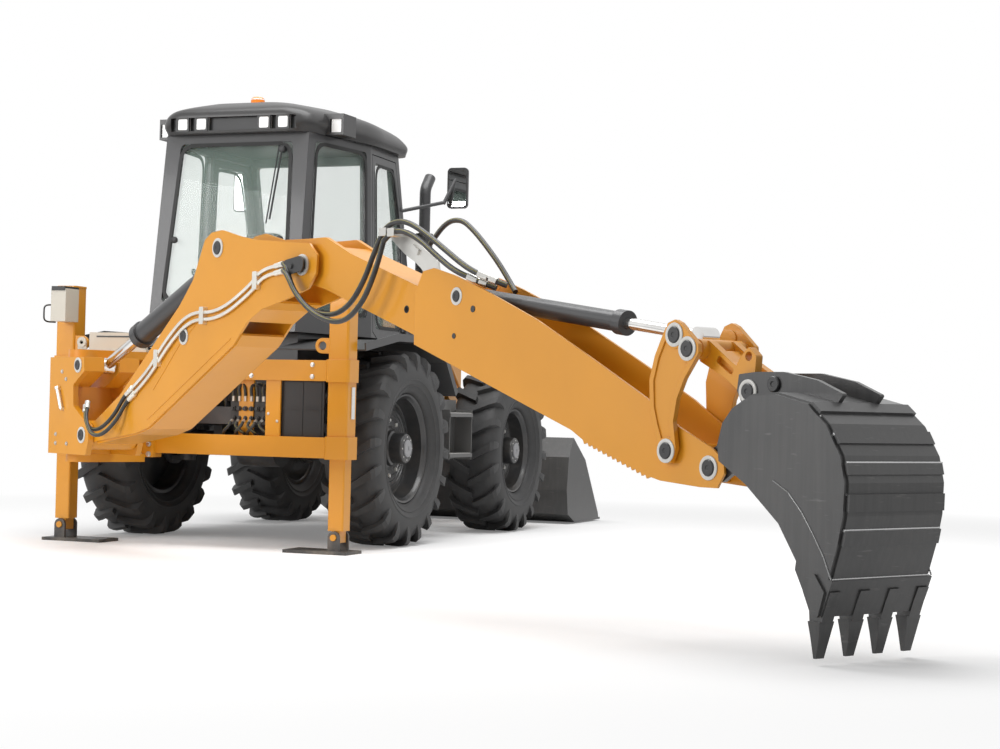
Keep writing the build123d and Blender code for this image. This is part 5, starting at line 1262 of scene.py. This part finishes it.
# %% Lamps, wiper, beacon and handles
LAMP_UP = 2980
HANDLE_X = 372
HANDLE = ((1780, 0.01), (1780, 0.06), (1880, 0.065), (1980, 0.06), (1980, 0.01))

bezels = Shape()
lenses = Shape()
for y in (-400, -250, 250, 400):
    outer = oblong((y - 52, y + 52), (LAMP_UP - 53, LAMP_UP + 53))
    inner = oblong((y - 38, y + 38), (LAMP_UP - 39, LAMP_UP + 39))
    steps = ((-592, outer), (-606, outer), (-606, inner), (-596, inner))
    bezels.skin([[at(x, *place) for place in rounded(points, 12)] for x, points in steps], closed=True)
    lenses.skin([[at(x, *place) for place in rounded(inner, 10)] for x in (-600, -603)])
bezels.done("work_lamp_bezels", black_plastic, "chassis")
lenses.done("work_lamp_lenses", lamp_lens, "chassis")
crown = [(12, 52), (52, 51), (66, 46), (75, 36), (78, 22), (79, 8)]
Shape().turned(at(-200, 15, 3150), UPWARD, crown).done("beacon_dome", amber_lens, "chassis")
wiper = Shape().rod(back_wall(-380, 2770, 0.03), back_wall(-330, 2290, 0.03), 7, sides=10)
wiper.rod(back_wall(-355, 2830, 0.022), back_wall(-300, 2260, 0.022), 5, sides=8)
wiper.turned(back_wall(-380, 2790), BACKWARD, [(0, 26), (34, 24), (38, 16)], 24)
wiper.done("rear_wiper", black_plastic, "chassis")
for side, hand in SIDES:
    handle = Shape().tube([wall(HANDLE_X, z, side, off) for z, off in HANDLE], 10)
    handle.done(f"door_{hand}_handle", black_plastic, f"door_{hand}")
knobs = Shape()
for y in (-420, 420):
    knobs.turned(back_wall(y, 2150), BACKWARD, [(0, 14), (14, 14), (16, 24), (30, 24), (34, 18)], 28)
for side, _ in SIDES:
    profile = [(0, 14), (12, 14), (14, 24), (28, 24), (32, 18)]
    knobs.turned(wall(150, 1980, side), LEFTWARD * side, profile, 28)
knobs.done("window_knobs", black_plastic, "chassis")
print("cab trim made")

# %% [markdown]
# The levers end in round knobs, and the steering wheel has a soft rim. They show through the glass.

# %% Knobs and boots in the cab
GRIP = [(-22, 12), (-12, 20), (4, 25), (18, 22), (27, 12), (29, 3)]
BOOT = [(-6, 34), (8, 33), (14, 26), (24, 28), (30, 20), (40, 22), (48, 12)]
WHEEL_RADIUS = 179
GRIP_RADIUS = 16

grips = Shape()
boots = Shape()
for side, _ in SIDES:
    for x in (-360, -300, -240):
        grips.turned(at(x - 30, side * 330, 1760), UPWARD, GRIP, 24)
        boots.turned(at(x, side * 340, 1560), UPWARD, BOOT, 24)
grips.done("lever_grips", black_plastic, "chassis")
boots.done("lever_boots", seal_rubber, "chassis")
column = Vector((-200, 0, 290)).normalized()
centre = at(802, 0, 1687) + column * 0.011
rows = []
for point in circle(centre, column, WHEEL_RADIUS, 64):
    rows.append(ring(point, (point - centre).normalized(), column, GRIP_RADIUS, 12))
Shape().skin(rows, closed=True).done("steering_wheel_grip", black_plastic, "chassis")
print("knobs, boots and steering wheel grip made")

# %% [markdown]
# ## Weld beads
#
# A weld bead is a row of overlapping scales. Here it is a half-round cord whose radius swells and
# shrinks along its run, so light breaks up on it as it does on a real weld.


# %% Beads on the bucket and the arm
STRIP_BEADS = (
    # place (s, up) and radius of each bead across the bucket's back
    ((6876, 998), 5), ((6947, 927), 6), ((7020, 690), 5), ((7010, 548), 6), ((6952, 350), 7),
    ((7019, 818), 4),
)
CHEEK_SEAM = ((6640, 730), (6725, 686), (6800, 610), (6858, 532), (6920, 440), (6962, 350))
SCALE_LENGTH = 0.009
STRIP_HALF, CHEEK_SIDE, BOOM_SIDE = 296, 311, 161
BOSS = [(0, 34), (10, 34), (14, 30), (14, 12), (10, 10)]
BOOM_SEAMS = (((1245, 1068), (1560, 1350)), ((1560, 1350), (1800, 1500)), ((1180, 880), (2150, 1375)))
PLUGS = (
    # place (s, up, w) on the side that faces out, and profile
    ((3833, 1509, 118), [(0, 20), (2, 20), (2, 16), (0, 16)], 32),
    ((4442, 1494, 155), [(0, 17), (3, 17), (3, 4)], 28),
    ((4292, 1361, 155), [(0, 14), (3, 14), (3, 4)], 28),
)


def bead(shape, start, end, radius, wobble=0.28):
    """A bead from one point to another."""
    run = end - start
    count = 2 * max(4, int(run.length / SCALE_LENGTH))
    swells = [radius * (1 - wobble * (number % 2)) for number in range(count + 1)]
    axis = run.normalized()
    shape.skin([circle(start + run * (n / count), axis, swell, 8) for n, swell in enumerate(swells)])


# The beads across the bucket's back are pale as a painted sheen, and the cheek beads are a darker copy
# as painted shade.
beads = Shape()
for place, size in STRIP_BEADS:
    bead(beads, hoe(*place, -STRIP_HALF), hoe(*place, STRIP_HALF), size)
beads.done("bucket_strip_welds", sheen_weld_metal, "hoe_bucket")
beads = Shape()
for side, _ in SIDES:
    for first, second in zip(CHEEK_SEAM, CHEEK_SEAM[1:]):
        bead(beads, hoe(*first, side * CHEEK_SIDE), hoe(*second, side * CHEEK_SIDE), 4)
beads.done("bucket_cheek_welds", shaded_weld_metal, "hoe_bucket")
bosses = Shape()
beads = Shape()
plugs = Shape()
for side, _ in SIDES:
    bosses.turned(hoe(6470, 1128, side * 130), ACROSS * side, BOSS, 36)
    for first, second in BOOM_SEAMS:
        bead(beads, hoe(*first, side * BOOM_SIDE), hoe(*second, side * BOOM_SIDE), 3, 0.15)
    for (s, up, w), profile, sides in PLUGS:
        plugs.turned(hoe(s, up, side * w), ACROSS * side, profile, sides)
bosses.done("bucket_ear_bosses", black_steel, "hoe_bucket")
beads.done("boom_welds", orange_paint, "boom")
plugs.done("dipper_plugs", black_steel, "dipper_extension")
print("weld beads, bosses and plugs made")

# %% [markdown]
# ## Roof
#
# The roof is one moulded shell. Its plan outline is known at four heights; between them a smooth
# curve gives the outlines of eighteen more, and the shell is the skin over all of them. A recess in
# its back and two at its sides hold lamps, so those blocks are cut out.

# %% Moulded roof shell
ROOF_RINGS = 22
CROWN_RISE = 235
ROOF_PLANS = (
    # rise, back x, middle x, front x, half-widths at the back, the middle and the front
    (0, -600, 270, 985, 560, 725, 690),
    (80, -612, 270, 975, 585, 735, 700),
    (170, -590, 240, 820, 510, 680, 600),
    (235, -430, 80, 420, 300, 480, 380),
)


def smooth(values, place):
    """The value of a smooth curve through evenly numbered values."""
    low = min(int(place), len(values) - 2)
    t = place - low
    a, b = values[low], values[low + 1]
    before = values[low - 1] if low else a
    after = values[low + 2] if low + 2 < len(values) else b
    first, last = (b - before) / 2, (after - a) / 2
    if low == 0:
        first = b - a
    if low == len(values) - 2:
        last = (b - a) * 0.35
    return (
        (2 * t**3 - 3 * t**2 + 1) * a + (t**3 - 2 * t**2 + t) * first
        + (3 * t**2 - 2 * t**3) * b + (t**3 - t**2) * last
    )


shell_rings = []
columns = list(zip(*ROOF_PLANS))
for number in range(ROOF_RINGS):
    place = 3 * number / (ROOF_RINGS - 1)
    rise, *plan = (smooth(column, place) for column in columns)
    half = list(zip(plan[:3], plan[3:]))
    outline = rounded(half + [(x, -y) for x, y in reversed(half)], 150, 8)
    shell_rings.append([at(x, y, EAVES_UP + min(rise, CROWN_RISE)) for x, y in outline])
crown_ring = shell_rings[-1]
middle_point = sum(crown_ring, Vector()) / len(crown_ring)
for share in (0.97, 0.9, 0.6, 0.3, 0.05):
    shell_rings.append([middle_point + (point - middle_point) * share for point in crown_ring])
roof_shape = Shape().skin(shell_rings)
cutter_shape = Shape().block((-700, -560), (-500, 500), (2933, 3027))
for side, _ in SIDES:
    roof_shape.block((-340, -130), sorted((side * 560, side * 745)), (2915, 3065), soft=0.022)
    cutter_shape.block((-400, -314), sorted((side * 640, side * 733)), (2933, 3027))
roof = roof_shape.done("roof_shell", roof_plastic, None, 40)
cutter = cutter_shape.done("roof_cutter", roof_plastic, None)
cut = roof.modifiers.new("recess", "BOOLEAN")
cut.object = cutter
cut.operation = "DIFFERENCE"
tooled(roof, 32)
bpy.data.objects.remove(cutter)
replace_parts(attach(roof, "chassis"), "cab_roof")
print("roof shell:", len(roof.data.polygons), "faces")

# %% [markdown]
# ## Seat
#
# A cushion is a closed, crowned form: full in the middle and thin at its edges, with two grooves along
# its top. It starts as a finely cut box that is pulled round and then crowned, and soft creases run in
# from the corners.


# %% Crowned cushions
def cushion(name, centre, half, lean, crown=0.30):
    """A cushion about a centre with half-sizes in millimetres; lean tilts it back."""
    mesh = bmesh.new()
    bmesh.ops.create_cube(mesh, size=2.0)
    bmesh.ops.subdivide_edges(mesh, edges=mesh.edges, cuts=22, use_grid_fill=True)
    turn = Matrix.Rotation(lean, 4, "Y")
    for vert in mesh.verts:
        x, y, z = vert.co
        size = (abs(x) ** 5 + abs(y) ** 5 + abs(z) ** 5) ** 0.2
        x, y, z = x / size, y / size, z / size
        full = 1 - crown + crown * (1 - x**4) * (1 - y**4)
        crease = 0.012 * sin(9 * (x + y)) * abs(x * y) + 0.010 * sin(11 * (x - y)) * abs(x * y)
        groove = -0.10 * (1 - min(1, abs(abs(y) - 0.62) / 0.05)) * (1 - x**6) if z > 0 else 0.0
        z = z * full + crease + groove
        vert.co = turn @ Vector((x * half[0], y * half[1], z * half[2])) / 1000
        vert.co += centre
    data = bpy.data.meshes.new(name)
    mesh.to_mesh(data)
    mesh.free()
    data.shade_smooth()
    data.materials.append(seat_cloth)
    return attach(linked(name, data), "chassis")


seat_base = cushion("seat_base_cushion", at(290, 0, 1488), (225, 232, 66), radians(-3))
seat_back = cushion("seat_back_cushion", at(18, 0, 1790), (290, 226, 62), radians(79))
cushion("headrest_cushion", at(-48, 0, 2160), (88, 128, 46), radians(82))
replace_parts(seat_base, "seat_cushions")
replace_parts(seat_back, "seat_cushions")
stalks = Shape()
for y in (-50, 50):
    stalks.rod(at(-30, y, 1990), at(-52, y, 2150), 7)
stalks.done("headrest_stalks", zinc, "chassis")
print("seat: three cushions")

# %% [markdown]
# ## Side trim
#
# Steps, turn lamps, mirror faces, leg collars and the perforated exhaust guard are the last small
# parts. The guard's holes are a pattern in its finish, because they are too many and too small to cut.

# %% Perforated guard
STACK_FOOT = at(1290, -690, 1640)
GUARD_WALL = [(0, 63), (0, 66), (720, 66), (720, 63)]
HOLES_PER_METRE = 62.0

guard = Finish("perforated_guard")
grid = {"Vector": guard.where, "Scale": HOLES_PER_METRE, "Randomness": 0.0}
holes = guard.add("ShaderNodeTexVoronoi", {"distance": "EUCLIDEAN"}, grid, "Distance")
# The holes are near-black dots: the dark stack behind them, darkened further as painted shade inside the
# guard.
dark = 1.0 - holes.between(0.30, 0.36)
guard_tone = guard.mix(guard.noise(5.0, 3.0), (0.034, 0.034, 0.035), (0.052, 0.051, 0.050))
perforated = guard.surface({
    "Base Color": guard.mix(dark, guard_tone, (0.004, 0.004, 0.004)),
    "Roughness": 0.42 + dark * 0.4,
    "Metallic": 0.0,
    "Normal": guard.bump(1.0 - dark, 0.5, 0.002),
})
pipe = Shape().turned(STACK_FOOT, UPWARD, GUARD_WALL, closed=True)
pipe.done("exhaust_guard", perforated, "chassis")
bands = Shape()
for up in (4, 360, 712):
    band = [(up - 8, 64), (up - 8, 69), (up + 8, 69), (up + 8, 64)]
    bands.turned(STACK_FOOT, UPWARD, band, closed=True)
bands.done("exhaust_bands", black_steel, "chassis")
print("guard with", HOLES_PER_METRE, "holes in a metre")

# %% Steps, turn lamps, mirror faces, leg collars and pad pins
LEG_X = -935.5
LEG_AXIS = 1069
PAD_PIN_UP = 112
PIN_RIM = [(0, 30), (6, 30), (6, 18), (2, 18)]
PIN_HEAD = [(2, 17), (12, 17), (14, 12)]

treads, turn_bodies, turn_lamps, faces, collars = (Shape() for _ in range(5))
for side, hand in SIDES:
    for z in (648, 958):
        for y in range(976, 1097, 20):
            treads.block((912, 1348), sorted((side * y - 5, side * y + 5)), (z, z + 5), soft=0.001)
    ys = sorted((side * 770, side * 860))
    turn_bodies.block((1150, 1210), ys, (1690, 1790), soft=0.010)
    turn_lamps.block((1138, 1152), (ys[0] + 8, ys[1] - 8), (1698, 1782), soft=0.006)
    turn_bodies.rod(at(1180, side * 770, 1740), at(1180, side * 655, 1740), 12)
    mirror = rounded(oblong((side * 945 - 74, side * 945 + 74), (2574, 2866)), 30)
    faces.skin([[at(x, *place) for place in mirror] for x in (1330, 1327)])
    leg_y = side * LEG_AXIS
    for z in (1157, 1297, 639, 779):
        inner, outer = (
            rounded(oblong((LEG_X - half, LEG_X + half), (leg_y - half, leg_y + half)), 12)
            for half in (76, 82)
        )
        steps = ((inner, z - 7), (outer, z - 7), (outer, z + 7), (inner, z + 7))
        collars.skin([[at(*place, up) for place in loop] for loop, up in steps], closed=True)
    cap = Shape()
    for way in (-1, 1):
        place = at(LEG_X + way * 66, leg_y, PAD_PIN_UP)
        cap.turned(place, BACKWARD * -way, PIN_RIM, 32)
        cap.turned(place, BACKWARD * -way, PIN_HEAD, 6)
    cap.done(f"pad_{hand}_pin_caps", ring_paint, f"stabiliser_pad_{hand}")
treads.done("step_treads", zinc, "chassis")
turn_bodies.done("turn_lamp_bodies", black_plastic, "chassis")
turn_lamps.done("turn_lamp_lenses", amber_lens, "chassis")
faces.done("mirror_faces", mirror_glass, "chassis")
collars.done("leg_collars", orange_paint, "chassis")
print("side trim made")
